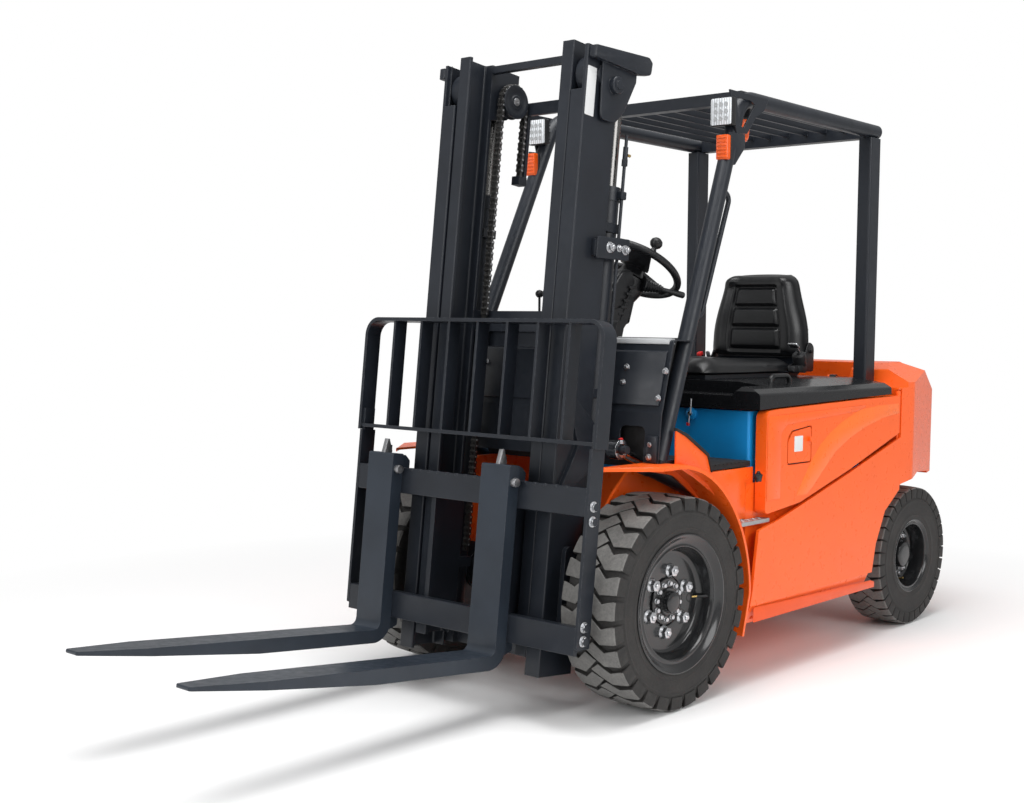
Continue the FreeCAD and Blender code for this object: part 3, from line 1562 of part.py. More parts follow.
def make_outer_beams():
    """Cross members of the outer mast with their end plates, chain anchors and cylinder clamps."""
    pieces = make_barrel_clamps()
    inner = S.cylinder_half - S.barrel_radius - 6
    front = OUTER_BACK + S.seat_gap
    for label, low, high, back in (
        ("low", -240, -130, -158), ("mid", 800, 900, -158), ("top", 1625, 1668, -70),
    ):
        pieces.append(box(f"outer_beam_{label}", (-inner, back - 14, low), (inner, back, high)))
        for name, side in SIDES:
            near, far = span(side, inner - 12, inner)
            pieces.append(box(f"outer_beam_end_{label}_{name}", (near, front, low), (far, back, high)))
            near, far = span(side, inner - 12, S.outer_half - 10)
            pieces.append(box(f"outer_beam_tab_{label}_{name}", (near, front, low), (far, front + 4, high)))
    for name, side in SIDES:
        x = side * S.pulley_half
        pieces.append(box(f"anchor_strap_{name}", (x - 16, -84, 1392), (x + 16, -72, 1630)))
        pieces.append(box(f"anchor_block_{name}", (x - 18, CHAIN_BACK_Y - 13, 1376), (x + 18, -72, 1406)))
    return node("outer_beams", fuse("outer_beam_set", pieces), "mast")


def make_lift_barrels():
    """Lift cylinder tubes behind the outer uprights, bored for their rods."""
    pieces = []
    for name, side in SIDES:
        x = side * S.cylinder_half
        foot = S.outer_foot + 30
        tube = rod(f"barrel_{name}", "Z", (x, CYLINDER_Y, foot), S.barrel_top - foot, S.barrel_radius)
        collar = rod(
            f"barrel_gland_{name}", "Z", (x, CYLINDER_Y, S.barrel_top - 46), 46, S.barrel_radius + 3,
        )
        bore = rod(
            f"barrel_bore_{name}", "Z", (x, CYLINDER_Y, foot + 24), S.barrel_top - foot,
            S.lift_rod_radius + S.seat_gap,
        )
        pieces.append(cut(f"barrel_solid_{name}", fuse(f"barrel_raw_{name}", [tube, collar]), [bore]))
    return node("lift_barrels", gather("barrel_pair", pieces), "mast")


def make_barrel_clamps():
    """Brackets that hold the lift cylinders to the outer uprights."""
    pieces = []
    for name, side in SIDES:
        for level, low in (("foot", -215), ("mid", 640), ("top", 1180)):
            x = side * S.cylinder_half
            near, far = span(side, S.cylinder_half - S.barrel_radius - 10, S.outer_half - 2)
            start = (near, OUTER_BACK + S.seat_gap, low)
            plate = box(f"clamp_{level}_{name}", start, (far, CYLINDER_Y + 18, low + 30))
            hole = rod(
                f"clamp_bore_{level}_{name}", "Z", (x, CYLINDER_Y, low - 5), 40,
                S.barrel_radius + S.seat_gap,
            )
            pieces.append(cut(f"clamp_solid_{level}_{name}", plate, [hole]))
    return pieces


def make_inner_uprights():
    """Moving channels with foot rollers, head plates for the pulleys and rod brackets."""
    roller = S.outer_depth / 2 - S.web - 1
    pieces = []
    for name, side in SIDES:
        raw = channel(
            f"inner_{name}", side, S.inner_half, S.inner_front, S.inner_depth, S.flange, S.inner_foot,
            S.inner_top,
        )
        low, high = span(side, S.inner_half - S.web, S.outer_half - S.web - 9)
        wheel = rod(
            f"inner_roller_{name}", "X", (low, OUTER_MID, S.inner_foot + roller + 8),
            as_size(high) - low, roller,
        )
        low, high = span(side, S.inner_half - S.flange, S.inner_half - S.flange + S.web)
        head_line = [
            (INNER_BACK - S.web, S.inner_top - 190),
            (PULLEY_Y + 6, S.inner_top - 170, 30),
            (PULLEY_Y + 34, S.inner_top - 90, 30),
            (PULLEY_Y + 34, S.inner_top - 6),
            (INNER_BACK - S.web, S.inner_top - 6),
        ]
        head = prism(f"inner_head_{name}", "YZ", head_line, low, high)
        low, high = span(side, S.pulley_half - 13, S.inner_half - S.flange + 2)
        axle = rod(f"pulley_pin_{name}", "X", (low, PULLEY_Y, S.pulley_height), as_size(high) - low, 14)
        low, high = span(side, S.inner_half - S.flange, S.inner_half)
        rear = OUTER_BACK + S.run_gap
        cap_low = S.inner_top - 34
        neck = box(
            f"rod_neck_{name}", (low, INNER_BACK - S.web, cap_low), (high, rear + 20, S.inner_top - 4),
        )
        low, high = span(side, S.inner_half - S.flange, S.outer_half + 6)
        cap = box(f"rod_bracket_{name}", (low, rear, cap_low), (high, CYLINDER_Y + 44, S.inner_top - 4))
        joined = [raw, wheel, head, axle, neck, cap]
        for level, height in (("mid", 850), ("foot", S.inner_foot + 20)):
            low, high = span(side, S.inner_half - S.flange, S.inner_half - S.flange + S.web)
            start = (low, INNER_BACK - S.web, height)
            joined.append(box(
                f"inner_lug_{level}_{name}", start, (high, INNER_BACK + 46, as_size(height) + 70),
            ))
        pieces.append(fuse(f"inner_upright_{name}", joined))
    return node("inner_uprights", gather("inner_pair", pieces), "mast")


def make_inner_beams():
    """Cross members of the inner mast."""
    half = S.inner_half - S.flange - S.seat_gap
    pieces = [
        box(
            "inner_beam_top", (-half, INNER_BACK - 20, S.inner_top - 31),
            (half, INNER_BACK, S.inner_top - 7),
        ),
        box("inner_beam_mid", (-half, INNER_BACK + 34, 850), (half, INNER_BACK + 46, 920)),
        box(
            "inner_beam_foot", (-half, INNER_BACK + 34, S.inner_foot + 20),
            (half, INNER_BACK + 46, S.inner_foot + 90),
        ),
    ]
    return node("inner_beams", gather("inner_beam_set", pieces), "mast")


def make_lift_rods():
    """Chromed rods from the cylinders up to the inner mast's head."""
    pieces = []
    for name, side in SIDES:
        top = S.inner_top - 34 - S.seat_gap
        pieces.append(rod(
            f"lift_rod_{name}", "Z", (side * S.cylinder_half, CYLINDER_Y, -140), top + 140,
            S.lift_rod_radius,
        ))
    return node("lift_rods", gather("lift_rod_pair", pieces), "mast")


def make_pulleys():
    """Grooved chain wheels at the inner mast's head."""
    pieces = []
    for name, side in SIDES:
        half = S.chain_width / 2 + 2
        groove = S.pulley_radius
        outline = [
            (-half - 4, 14 + S.seat_gap),
            (-half - 4, groove + 8, 1.5),
            (-half, groove + 8, 1.5),
            (-half, groove),
            (half, groove),
            (half, groove + 8, 1.5),
            (half + 4, groove + 8, 1.5),
            (half + 4, 14 + S.seat_gap),
        ]
        wheel = turned(f"pulley_{name}", "X", outline)
        pieces.append(shift(wheel, (side * (S.pulley_half - 4), PULLEY_Y, S.pulley_height)))
    return node("pulleys", gather("pulley_set", [*pieces, *make_chain_wraps()]), "mast")


def make_chains(label, y, low, high):
    """Straight strands of the two lift chains."""
    pieces = []
    for name, side in SIDES:
        x = side * (S.pulley_half - 4)
        half = S.chain_width / 2
        thick = S.chain_thick / 2
        pieces.append(box(f"{label}_{name}", (x - half, y - thick, low), (x + half, y + thick, high)))
    return node(label, gather(label + "_pair", pieces), "mast")


def make_chain_wraps():
    """Upper bends of the chains over their pulleys."""
    pieces = []
    for name, side in SIDES:
        inner = S.pulley_radius + S.seat_gap
        outer = inner + S.chain_thick
        outline = [
            (-S.chain_width / 2, inner), (S.chain_width / 2, inner), (S.chain_width / 2, outer),
            (-S.chain_width / 2, outer),
        ]
        ring = turned(f"wrap_{name}", "X", outline)
        below = box(f"wrap_cut_{name}", (-40, -90, -90), (40, 90, 0))
        half_ring = cut(f"wrap_solid_{name}", ring, [below])
        pieces.append(shift(half_ring, (side * (S.pulley_half - 4), PULLEY_Y, S.pulley_height)))
    return pieces


# Carriage and forks, in the mast frame


def make_carriage():
    """Fork bars with hook tongues, roller plates, rollers and chain lugs."""
    front = -S.carriage_front
    back = front + S.bar_thick
    upper_low = S.carriage_high - S.tongue - S.bar_tall
    lower_high = S.carriage_low + S.tongue + S.bar_tall
    upper = [
        (front, upper_low, 4),
        (back, upper_low, 4),
        (back, S.carriage_high - S.tongue, 4),
        (front + 16, S.carriage_high - S.tongue),
        (front + 16, S.carriage_high, 3),
        (front, S.carriage_high, 3),
    ]
    lower = [
        (front, S.carriage_low, 3),
        (front + 16, S.carriage_low, 3),
        (front + 16, S.carriage_low + S.tongue),
        (back, S.carriage_low + S.tongue, 4),
        (back, lower_high, 4),
        (front, lower_high, 4),
    ]
    half = S.carriage_half
    pieces = [prism("bar_upper", "YZ", upper, -half, half), prism("bar_lower", "YZ", lower, -half, half)]
    roller = S.inner_depth / 2 - S.web - 1
    face = S.pulley_half - 22
    for name, side in SIDES:
        low, high = span(side, face, face + 20)
        plate = [
            (back - 2, S.carriage_low + S.tongue + 6),
            (INNER_BACK - 28, S.carriage_low - 4, 30),
            (INNER_BACK - 28, upper_low - 4, 60),
            (back + 30, S.carriage_high - S.tongue - 4, 30),
            (back - 2, S.carriage_high - S.tongue - 4),
        ]
        pieces.append(prism(f"roller_plate_{name}", "YZ", plate, low, high))
        for level, height in (("low", -104), ("high", 236)):
            low, high = span(side, face + 4, S.inner_half - S.web - 8)
            pieces.append(rod(
                f"carriage_pin_{level}_{name}", "X", (low, INNER_MID, height), as_size(high) - low, 20,
            ))
            low, high = span(side, S.inner_half - S.flange + 1, S.inner_half - S.web - 8)
            pieces.append(rod(
                f"carriage_roller_{level}_{name}", "X", (low, INNER_MID, height), as_size(high) - low,
                roller,
            ))
        low, high = span(side, face, S.pulley_half + 12)
        pieces.append(box(f"chain_lug_{name}", (low, INNER_BACK - 34, 34), (high, CHAIN_FRONT_Y + 9, 66)))
    return node("carriage", fuse("carriage_solid", pieces), "mast")


def make_backrest():
    """Load backrest: a bent flat-bar hoop with upright slats and a lower cross bar."""
    front = -S.carriage_front - 1
    back = front + S.guard_depth
    bar = 12
    outer = S.carriage_half + 2 * bar
    low = S.guard_cross - 8
    hoop = [
        (-outer, low),
        (-outer, S.guard_top, 62),
        (outer, S.guard_top, 62),
        (outer, low),
        (outer - bar, low),
        (outer - bar, S.guard_top - bar, 50),
        (-outer + bar, S.guard_top - bar, 50),
        (-outer + bar, low),
    ]
    pieces = [prism("backrest_hoop", "XZ", hoop, front, back)]
    pieces.append(box(
        "backrest_cross", (-outer + bar / 2, front + 4, S.guard_cross),
        (outer - bar / 2, back - 4, S.guard_cross + bar),
    ))
    count = int(S.guard_slats.value)
    pitch = 2 * (outer - bar) / (S.guard_slats + 1)
    for index in range(count):
        middle = pitch * (index + 1) - outer + bar
        pieces.append(box(
            f"slat_{index}", (
                middle - 5, front + 4, S.guard_cross + bar / 2,
            ), (middle + 5, back - 4, S.guard_top - bar / 2)))
    return node("backrest", fuse("backrest_solid", pieces), "mast")


def make_backrest_arms():
    """Side plates that carry the backrest on the ends of the fork bars."""
    front = -S.carriage_front - 1
    back = front + S.guard_depth
    pieces = []
    for name, side in SIDES:
        low, high = span(side, S.carriage_half + S.seat_gap, S.carriage_half + 12 - S.seat_gap)
        arm = [
            (front, S.carriage_low + 20, 6),
            (back, S.carriage_low + 20, 6),
            (back, S.guard_cross - 8.5),
            (front, S.guard_cross - 8.5),
        ]
        plate = prism(f"arm_{name}", "YZ", arm, low, high)
        lap = box(
            f"arm_lap_{name}", (low, front + 8, S.guard_cross - 20),
            (high, back - 8, S.guard_cross + 66),
        )
        cross = box(
            f"arm_clear_{name}", (low - 5, front + 3, S.guard_cross - 0.3),
            (high + 5, back - 3, S.guard_cross + 12.3),
        )
        bolts = []
        for height in (303, 258, -62, -104):
            lo, hi = span(side, S.carriage_half + 11, S.carriage_half + 24)
            bolts.append(rod(
                f"arm_bolt_{name}_{height}".replace("-", "m"), "X", (lo, front + 26, height),
                as_size(hi) - lo, 12,
            ))
        pieces.append(fuse(
            f"arm_solid_{name}",
            [cut(f"arm_cut_{name}", fuse(f"arm_raw_{name}", [plate, lap]), [cross]), *bolts],
        ))
    return node("backrest_arms", gather("arm_pair", pieces), "mast")


def make_fork(name, middle):
    """L-shaped fork: shank with hooks and latch, rounded heel, blade that thins to its tip."""
    rear = -S.carriage_front - S.seat_gap
    face = rear - S.fork_thick
    tip = face - S.fork_length
    top = S.fork_drop + S.fork_thick
    side_line = [
        (rear, S.fork_top, 6),
        (rear, S.fork_drop, 70),
        (face - S.fork_length * 0.45, S.fork_drop),
        (tip, top - 11, 4),
        (tip, top, 4),
        (face, top, 24),
        (face, S.fork_top, 6),
    ]
    half = S.fork_width / 2
    body = prism(f"fork_body_{name}", "YZ", side_line, middle - half, middle + half)
    tools = []
    for flip in (1, -1):
        edge = middle + flip * half
        nose = [
            (edge + flip * 5, tip - 5),
            (middle + flip * 24, tip - 5),
            (middle + flip * 30, tip + 8, 24),
            (edge, tip + 210, 300),
            (edge + flip * 5, tip + 230),
        ]
        tools.append(prism(f"fork_nose_{name}_{flip + 1}", "XY", nose, S.fork_drop - 5, top + 5))
    blade = cut(f"fork_blade_{name}", body, tools)
    gap = S.seat_gap
    upper = [
        (rear - 2, S.fork_top - 4),
        (rear - 2, S.carriage_high + gap),
        (rear + 16 + 2 * gap, S.carriage_high + gap),
        (rear + 16 + 2 * gap, S.carriage_high - S.tongue + gap),
        (rear + 36, S.carriage_high - S.tongue + gap),
        (rear + 36, S.fork_top - 22, 10),
        (rear + 16, S.fork_top - 4, 10),
    ]
    lower = [
        (rear - 2, S.carriage_low - 46),
        (rear + 36, S.carriage_low - 30, 8),
        (rear + 36, S.carriage_low + S.tongue - gap),
        (rear + 16 + 2 * gap, S.carriage_low + S.tongue - gap),
        (rear + 16 + 2 * gap, S.carriage_low - gap),
        (rear - 2, S.carriage_low - gap),
    ]
    hooks = [
        prism(f"fork_hook_top_{name}", "YZ", upper, middle - half + 8, middle + half - 8),
        prism(f"fork_hook_low_{name}", "YZ", lower, middle - half + 8, middle + half - 8),
    ]
    latch = box(
        f"fork_latch_{name}", (middle - 6, rear - 30, S.fork_top - 6),
        (middle + 6, rear - 4, S.fork_top + 26),
    )
    return node(f"fork_{name}", fuse(f"fork_solid_{name}", [blade, *hooks, latch]), "mast")


# Tilt cylinders, in the truck frame


def tilt_ends():
    """World places of the mast pin and the frame pin, and the line between them."""
    pin_y = as_size(TILT_PIN_Y) * cosine(S.lean) + as_size(TILT_PIN_Z) * sine(S.lean)
    pin_z = as_size(TILT_PIN_Z) * cosine(S.lean) - as_size(TILT_PIN_Y) * sine(S.lean) + FRONT_AXLE_Z
    return pin_y, pin_z


def make_tilt_cylinder(name, side):
    """Tube hung from a frame bracket, and its rod with an eye round the mast's tilt pin."""
    pin_y, pin_z = tilt_ends()
    run = pin_y - S.tilt_foot_y
    rise = pin_z - S.tilt_foot_z
    reach = Size(math.hypot(run.value, rise.value), f"sqrt({run.text}^2 + {rise.text}^2)")
    x = side * S.tilt_half
    angle = math.degrees(math.atan2(rise.value, -run.value))
    turn = Size(-angle, f"(0 - atan2({rise.text}; 0 - {run.text}) / 1deg)")
    barrel_long = 330
    tube = rod(f"tilt_tube_{name}", "Y", (0, -barrel_long, 0), barrel_long - 34, S.tilt_radius)
    gland = rod(f"tilt_gland_{name}", "Y", (0, -barrel_long - 8, 0), 34, S.tilt_radius + 4)
    eye = rod(f"tilt_foot_eye_{name}", "X", (-22, 0, 0), 44, 30)
    neck = rod(f"tilt_neck_{name}", "Y", (0, -50, 0), 30, 22)
    bore = rod(
        f"tilt_bore_{name}", "Y", (0, -barrel_long - 20, 0), barrel_long - 60,
        S.tilt_rod_radius + S.seat_gap,
    )
    foot_bore = rod(f"tilt_foot_bore_{name}", "X", (-30, 0, 0), 60, 13 + S.seat_gap)
    barrel = cut(
        f"tilt_barrel_solid_{name}", fuse(f"tilt_barrel_raw_{name}", [tube, gland, eye, neck]),
        [bore, foot_bore],
    )
    stem = rod(f"tilt_stem_{name}", "Y", (0, -reach + 24, 0), 270, S.tilt_rod_radius)
    rod_eye = rod(f"tilt_rod_eye_{name}", "X", (-20, -reach, 0), 40, 32)
    rod_bore = rod(f"tilt_rod_bore_{name}", "X", (-30, -reach, 0), 60, 13 + S.run_gap)
    moving = cut(f"tilt_rod_solid_{name}", fuse(f"tilt_rod_raw_{name}", [stem, rod_eye]), [rod_bore])
    for label, item in (("barrel", barrel), ("rod", moving)):
        node(f"tilt_{label}_{name}", item, at=(x, S.tilt_foot_y, S.tilt_foot_z), turn=turn)


def make_tilt_brackets():
    """Frame ears with the pins that carry the tilt cylinders."""
    pieces = []
    for name, side in SIDES:
        low, high = span(side, 360, 372)
        ear = [
            (S.tilt_foot_y - 50, S.tilt_foot_z - 60, 10),
            (S.tilt_foot_y + 50, S.tilt_foot_z - 60, 10),
            (S.tilt_foot_y + 50, S.tilt_foot_z + 40, 40),
            (S.tilt_foot_y - 50, S.tilt_foot_z + 40, 40),
        ]
        plate = prism(f"tilt_bracket_{name}", "YZ", ear, low, high)
        low, high = span(side, 366, S.tilt_half + 30)
        pin = rod(
            f"tilt_frame_pin_{name}", "X", (low, S.tilt_foot_y, S.tilt_foot_z), as_size(high) - low, 13,
        )
        pieces.append(fuse(f"tilt_bracket_solid_{name}", [plate, pin]))
    return pieces


# The whole truck

make_frame()
make_floor()
make_steps()
make_cowl()
make_dash()
make_column()
make_steering_wheel()
make_pedals()
make_guard_tubes()
make_guard_pillars()
make_guard_roof()
make_grab_handle()
node("headlamps", gather("headlamp_pair", make_lamps("headlamp", 0.93, 74, 40, 96, 96)))
node("amber_lamps", gather("amber_set", [*make_lamps("turn_lamp", 0.845, 66, 30, 84, 52), make_beacon()]))
make_battery()
make_hood()
make_seat()
make_charge_door()
make_counterweight()
make_rear_lamps()
make_drive_axle()
make_steer_axle()
for side_name, side_sign in SIDES:
    make_fender(side_name, side_sign)
    make_side_door(side_name, side_sign)
    make_front_tyre(side_name, side_sign)
    make_front_rim(side_name, side_sign)
    make_rear_tyre(side_name, side_sign)
    make_rear_rim(side_name, side_sign)
    make_knuckle(side_name, side_sign)
    make_tilt_cylinder(side_name, side_sign)
make_outer_uprights()
make_outer_beams()
make_lift_barrels()
make_inner_uprights()
make_inner_beams()
make_lift_rods()
make_pulleys()
make_chains("chain_front", CHAIN_FRONT_Y, 66 + S.seat_gap, S.pulley_height - S.seat_gap)
make_chains("chain_back", CHAIN_BACK_Y, 1406 + S.seat_gap, S.pulley_height - S.seat_gap)
make_carriage()
make_backrest()
make_backrest_arms()
make_fork("left", S.fork_left_x)
make_fork("right", S.fork_right_x)
doc.recompute()

# Check every object, then write each sub-part

faults = [item.Name for item in doc.Objects if {"Invalid", "Error"} & set(item.State)]
for item in NODES:
    if item.Shape.isNull() or not item.Shape.isValid():
        faults.append(item.Label)
if faults:
    raise RuntimeError("failed: " + ", ".join(faults))
os.makedirs("parts", exist_ok=True)
for item in NODES:
    item.Shape.exportStep(f"parts/{item.Label}.step")
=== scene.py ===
import json
import math

import bmesh
import bpy
from mathutils import Matrix, Vector


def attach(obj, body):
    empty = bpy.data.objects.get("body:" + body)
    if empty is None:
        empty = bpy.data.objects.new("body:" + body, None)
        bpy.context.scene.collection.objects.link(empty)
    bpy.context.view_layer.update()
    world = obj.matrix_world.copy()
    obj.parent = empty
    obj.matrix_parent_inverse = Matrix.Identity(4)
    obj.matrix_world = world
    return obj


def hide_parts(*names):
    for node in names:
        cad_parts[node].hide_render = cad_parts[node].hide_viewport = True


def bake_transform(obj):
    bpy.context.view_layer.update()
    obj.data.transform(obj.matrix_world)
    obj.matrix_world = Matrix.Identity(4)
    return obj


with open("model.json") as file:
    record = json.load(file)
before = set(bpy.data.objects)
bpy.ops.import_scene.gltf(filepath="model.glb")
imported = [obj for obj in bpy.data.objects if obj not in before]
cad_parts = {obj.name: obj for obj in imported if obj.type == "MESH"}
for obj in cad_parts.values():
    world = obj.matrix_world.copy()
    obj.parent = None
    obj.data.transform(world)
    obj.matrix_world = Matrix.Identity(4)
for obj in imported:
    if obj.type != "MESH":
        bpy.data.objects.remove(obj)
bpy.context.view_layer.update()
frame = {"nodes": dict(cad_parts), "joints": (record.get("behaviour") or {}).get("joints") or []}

JOINTS = {joint["name"]: joint for joint in frame["joints"]}
NODES = frame["nodes"]
AXLE_Y = JOINTS["front_wheel_left_spin"]["pos_m"][1]
AXLE_Z = JOINTS["front_wheel_left_spin"]["pos_m"][2]
MAST_UP = Vector(JOINTS["mast_lift"]["axis"])
MAST_BACK = Vector((0, MAST_UP.z, -MAST_UP.y))
SIDES = (("left", 1), ("right", -1))
UP = (0, 0, 1)
AHEAD = (0, -1, 0)
SIDEWAYS = (1, 0, 0)


# places: millimetres from the front axle (truck) or in the mast's own upright frame (mast)
def truck(x, y, z):
    return Vector((x / 1000, y / 1000 + AXLE_Y, z / 1000))


def mast(x, y, z):
    return Vector((x / 1000, AXLE_Y, AXLE_Z)) + MAST_BACK * (y / 1000) + MAST_UP * (z / 1000)


# camera, fitted to the photograph
CAMERA_AT = (3.1228, AXLE_Y - 3.3121, 1.2303)
CAMERA_YAW = 0.65723
CAMERA_PITCH = -0.09066
CAMERA_ROLL = 0.0142
FOCAL = 1310.39
PICTURE = (1024, 803)
CENTRE = (674.59, 448.56)
SENSOR = 36


def make_camera():
    ahead = Vector((-math.sin(CAMERA_YAW) * math.cos(CAMERA_PITCH),
                    math.cos(CAMERA_YAW) * math.cos(CAMERA_PITCH),
                    math.sin(CAMERA_PITCH)))
    right = ahead.cross(Vector(UP)).normalized()
    up = right.cross(ahead)
    turn = math.cos(CAMERA_ROLL), math.sin(CAMERA_ROLL)
    right, up = right * turn[0] + up * turn[1], up * turn[0] - right * turn[1]
    data = bpy.data.cameras.new("camera")
    data.sensor_fit = "HORIZONTAL"
    data.sensor_width = SENSOR
    data.lens = FOCAL * SENSOR / PICTURE[0]
    data.shift_x = (PICTURE[0] / 2 - CENTRE[0]) / PICTURE[0]
    data.shift_y = (CENTRE[1] - PICTURE[1] / 2) / PICTURE[0]
    data.clip_end = 200
    camera = show("camera", data)
    axes = Matrix((right, up, -ahead)).transposed()
    camera.matrix_world = Matrix.Translation(CAMERA_AT) @ axes.to_4x4()
    bpy.context.scene.camera = camera


# materials
def node(tree, kind, inputs=(), output=0, **settings):
    """New node and its output; each input is a value or the output of another node."""
    item = tree.nodes.new("ShaderNode" + kind)
    for key, value in settings.items():
        setattr(item, key, value)
    for key, value in dict(inputs).items():
        if isinstance(value, bpy.types.NodeSocket):
            tree.links.new(value, item.inputs[key])
        else:
            item.inputs[key].default_value = value
    return item.outputs[output] if item.outputs else None


def new_material(name):
    material = bpy.data.materials.new(name)
    material.use_nodes = True
    material.node_tree.nodes.clear()
    return material, material.node_tree


def surface(material, inputs):
    shade = node(material.node_tree, "BsdfPrincipled", inputs)
    node(material.node_tree, "OutputMaterial", {"Surface": shade})
    return material


def place(tree):
    return node(tree, "TexCoord", output="Object")


def noise(tree, where, scale, detail, roughness=0.55):
    return node(tree, "TexNoise", {"Vector": where, "Scale": scale, "Detail": detail, "Roughness": roughness})


def product(tree, one, two):
    return node(tree, "Math", {0: one, 1: two}, operation="MULTIPLY")


def ramp(tree, value, stops):
    item = tree.nodes.new("ShaderNodeValToRGB")
    elements = item.color_ramp.elements
    while len(elements) > 1:
        elements.remove(elements[-1])
    for number, (spot, colour) in enumerate(stops):
        element = elements[0] if number == 0 else elements.new(spot)
        element.position = spot
        element.color = (*colour, 1)
    tree.links.new(value, item.inputs["Fac"])
    return item.outputs["Color"]


def spread(tree, value, low, high, start=0.3, end=0.7):
    """The value's range from start to end turned into low to high."""
    limits = {"From Min": start, "From Max": end, "To Min": low, "To Max": high}
    return node(tree, "MapRange", {"Value": value, **limits})


def soft_edge(tree, radius):
    return node(tree, "Bevel", {"Radius": radius}, samples=4)


def bump(tree, height, strength, distance, normal=None):
    inputs = {"Height": height, "Strength": strength, "Distance": distance}
    if normal is not None:
        inputs["Normal"] = normal
    return node(tree, "Bump", inputs)


def scaled(colour, factor):
    return tuple(min(1, c * factor) for c in colour)


def worn_edges(tree, where, shade, normal, worn):
    """The worn colour in spots where the softened normal leaves the face's own."""
    flat = node(tree, "NewGeometry", output="Normal")
    same = node(tree, "VectorMath", {0: normal, 1: flat}, "Value", operation="DOT_PRODUCT")
    bend = spread(tree, same, 1, 0, 0.8, 0.985)
    spots = spread(tree, noise(tree, where, 70, 6, 0.7), 0, 1, 0.46, 0.62)
    inputs = {"Factor": product(tree, bend, spots), "A": shade, "B": (*worn, 1)}
    return node(tree, "Mix", inputs, "Result", data_type="RGBA")


def coat(name, colour, rough=0.35, worn=None, peel=0.06, tint=0.06, edge=0.0025, grain=180, clear=0.0):
    """Paint or moulded plastic: slight colour and gloss variation, peel in the surface, softened edges, and
    a worn colour along the edges."""
    material, tree = new_material(name)
    where = place(tree)
    stops = [(0.35, scaled(colour, 1 - tint)), (0.65, scaled(colour, 1 + tint))]
    shade = ramp(tree, noise(tree, where, 6, 5), stops)
    normal = soft_edge(tree, edge) if edge else None
    if worn is not None:
        shade = worn_edges(tree, where, shade, normal, worn)
    return surface(material, {
        "Base Color": shade,
        "Roughness": spread(tree, noise(tree, where, 38, 3), rough * 0.85, rough * 1.2),
        "Normal": bump(tree, noise(tree, where, grain, 2), peel, 0.0004, normal),
        "Specular IOR Level": 0.4,
        "Coat Weight": clear,
        "Coat Roughness": 0.08,
    })


def metal_finish(name, colour, rough, scratch=0.15, edge=0.0012):
    material, tree = new_material(name)
    streak = noise(tree, place(tree), 160, 6, 0.6)
    return surface(material, {
        "Base Color": ramp(tree, streak, [(0.3, scaled(colour, 0.78)), (0.6, colour)]),
        "Roughness": spread(tree, streak, rough * 0.7, rough * 1.4),
        "Normal": bump(tree, streak, scratch, 0.0006, soft_edge(tree, edge)),
        "Metallic": 1,
    })


def rubber(name, colour, dust, start=0.14):
    """Tyre rubber: black with a dry grey film that is stronger in the noise's high spots."""
    material, tree = new_material(name)
    where = place(tree)
    fine = noise(tree, where, 120, 5, 0.7)
    film = product(tree, noise(tree, where, 9, 6, 0.65), fine)
    return surface(material, {
        "Base Color": ramp(tree, film, [(start, colour), (0.42, dust)]),
        "Roughness": 0.72,
        "Normal": bump(tree, fine, 0.25, 0.001),
    })


def vinyl(name, colour, rough):
    """Seat cover with a fine cell grain."""
    material, tree = new_material(name)
    where = place(tree)
    cells = node(tree, "TexVoronoi", {"Vector": where, "Scale": 230}, "Distance", feature="DISTANCE_TO_EDGE")
    broad = noise(tree, where, 14, 4)
    return surface(material, {
        "Base Color": ramp(tree, broad, [(0.35, colour), (0.7, scaled(colour, 1.35))]),
        "Roughness": spread(tree, broad, rough * 0.9, rough * 1.15),
        "Normal": bump(tree, cells, 0.12, 0.0006),
    })


def lens(name, colour, ribs, glow):
    """Ribbed lamp cover with a slight glow; its colour is darker in the rib hollows as painted shade."""
    material, tree = new_material(name)
    wave = node(tree, "TexWave", {"Vector": place(tree), "Scale": ribs, "Distortion": 0.4}, "Fac")
    return surface(material, {
        # painted shade: the colour falls to 0.6 of itself in the rib hollows, following the same wave as the
        # bump
        "Base Color": ramp(tree, wave, [(0.1, scaled(colour, 0.6)), (0.6, colour)]),
        "Normal": bump(tree, wave, 0.5, 0.002),
        "Roughness": 0.12,
        "Emission Color": (*colour, 1),
        "Emission Strength": glow,
    })


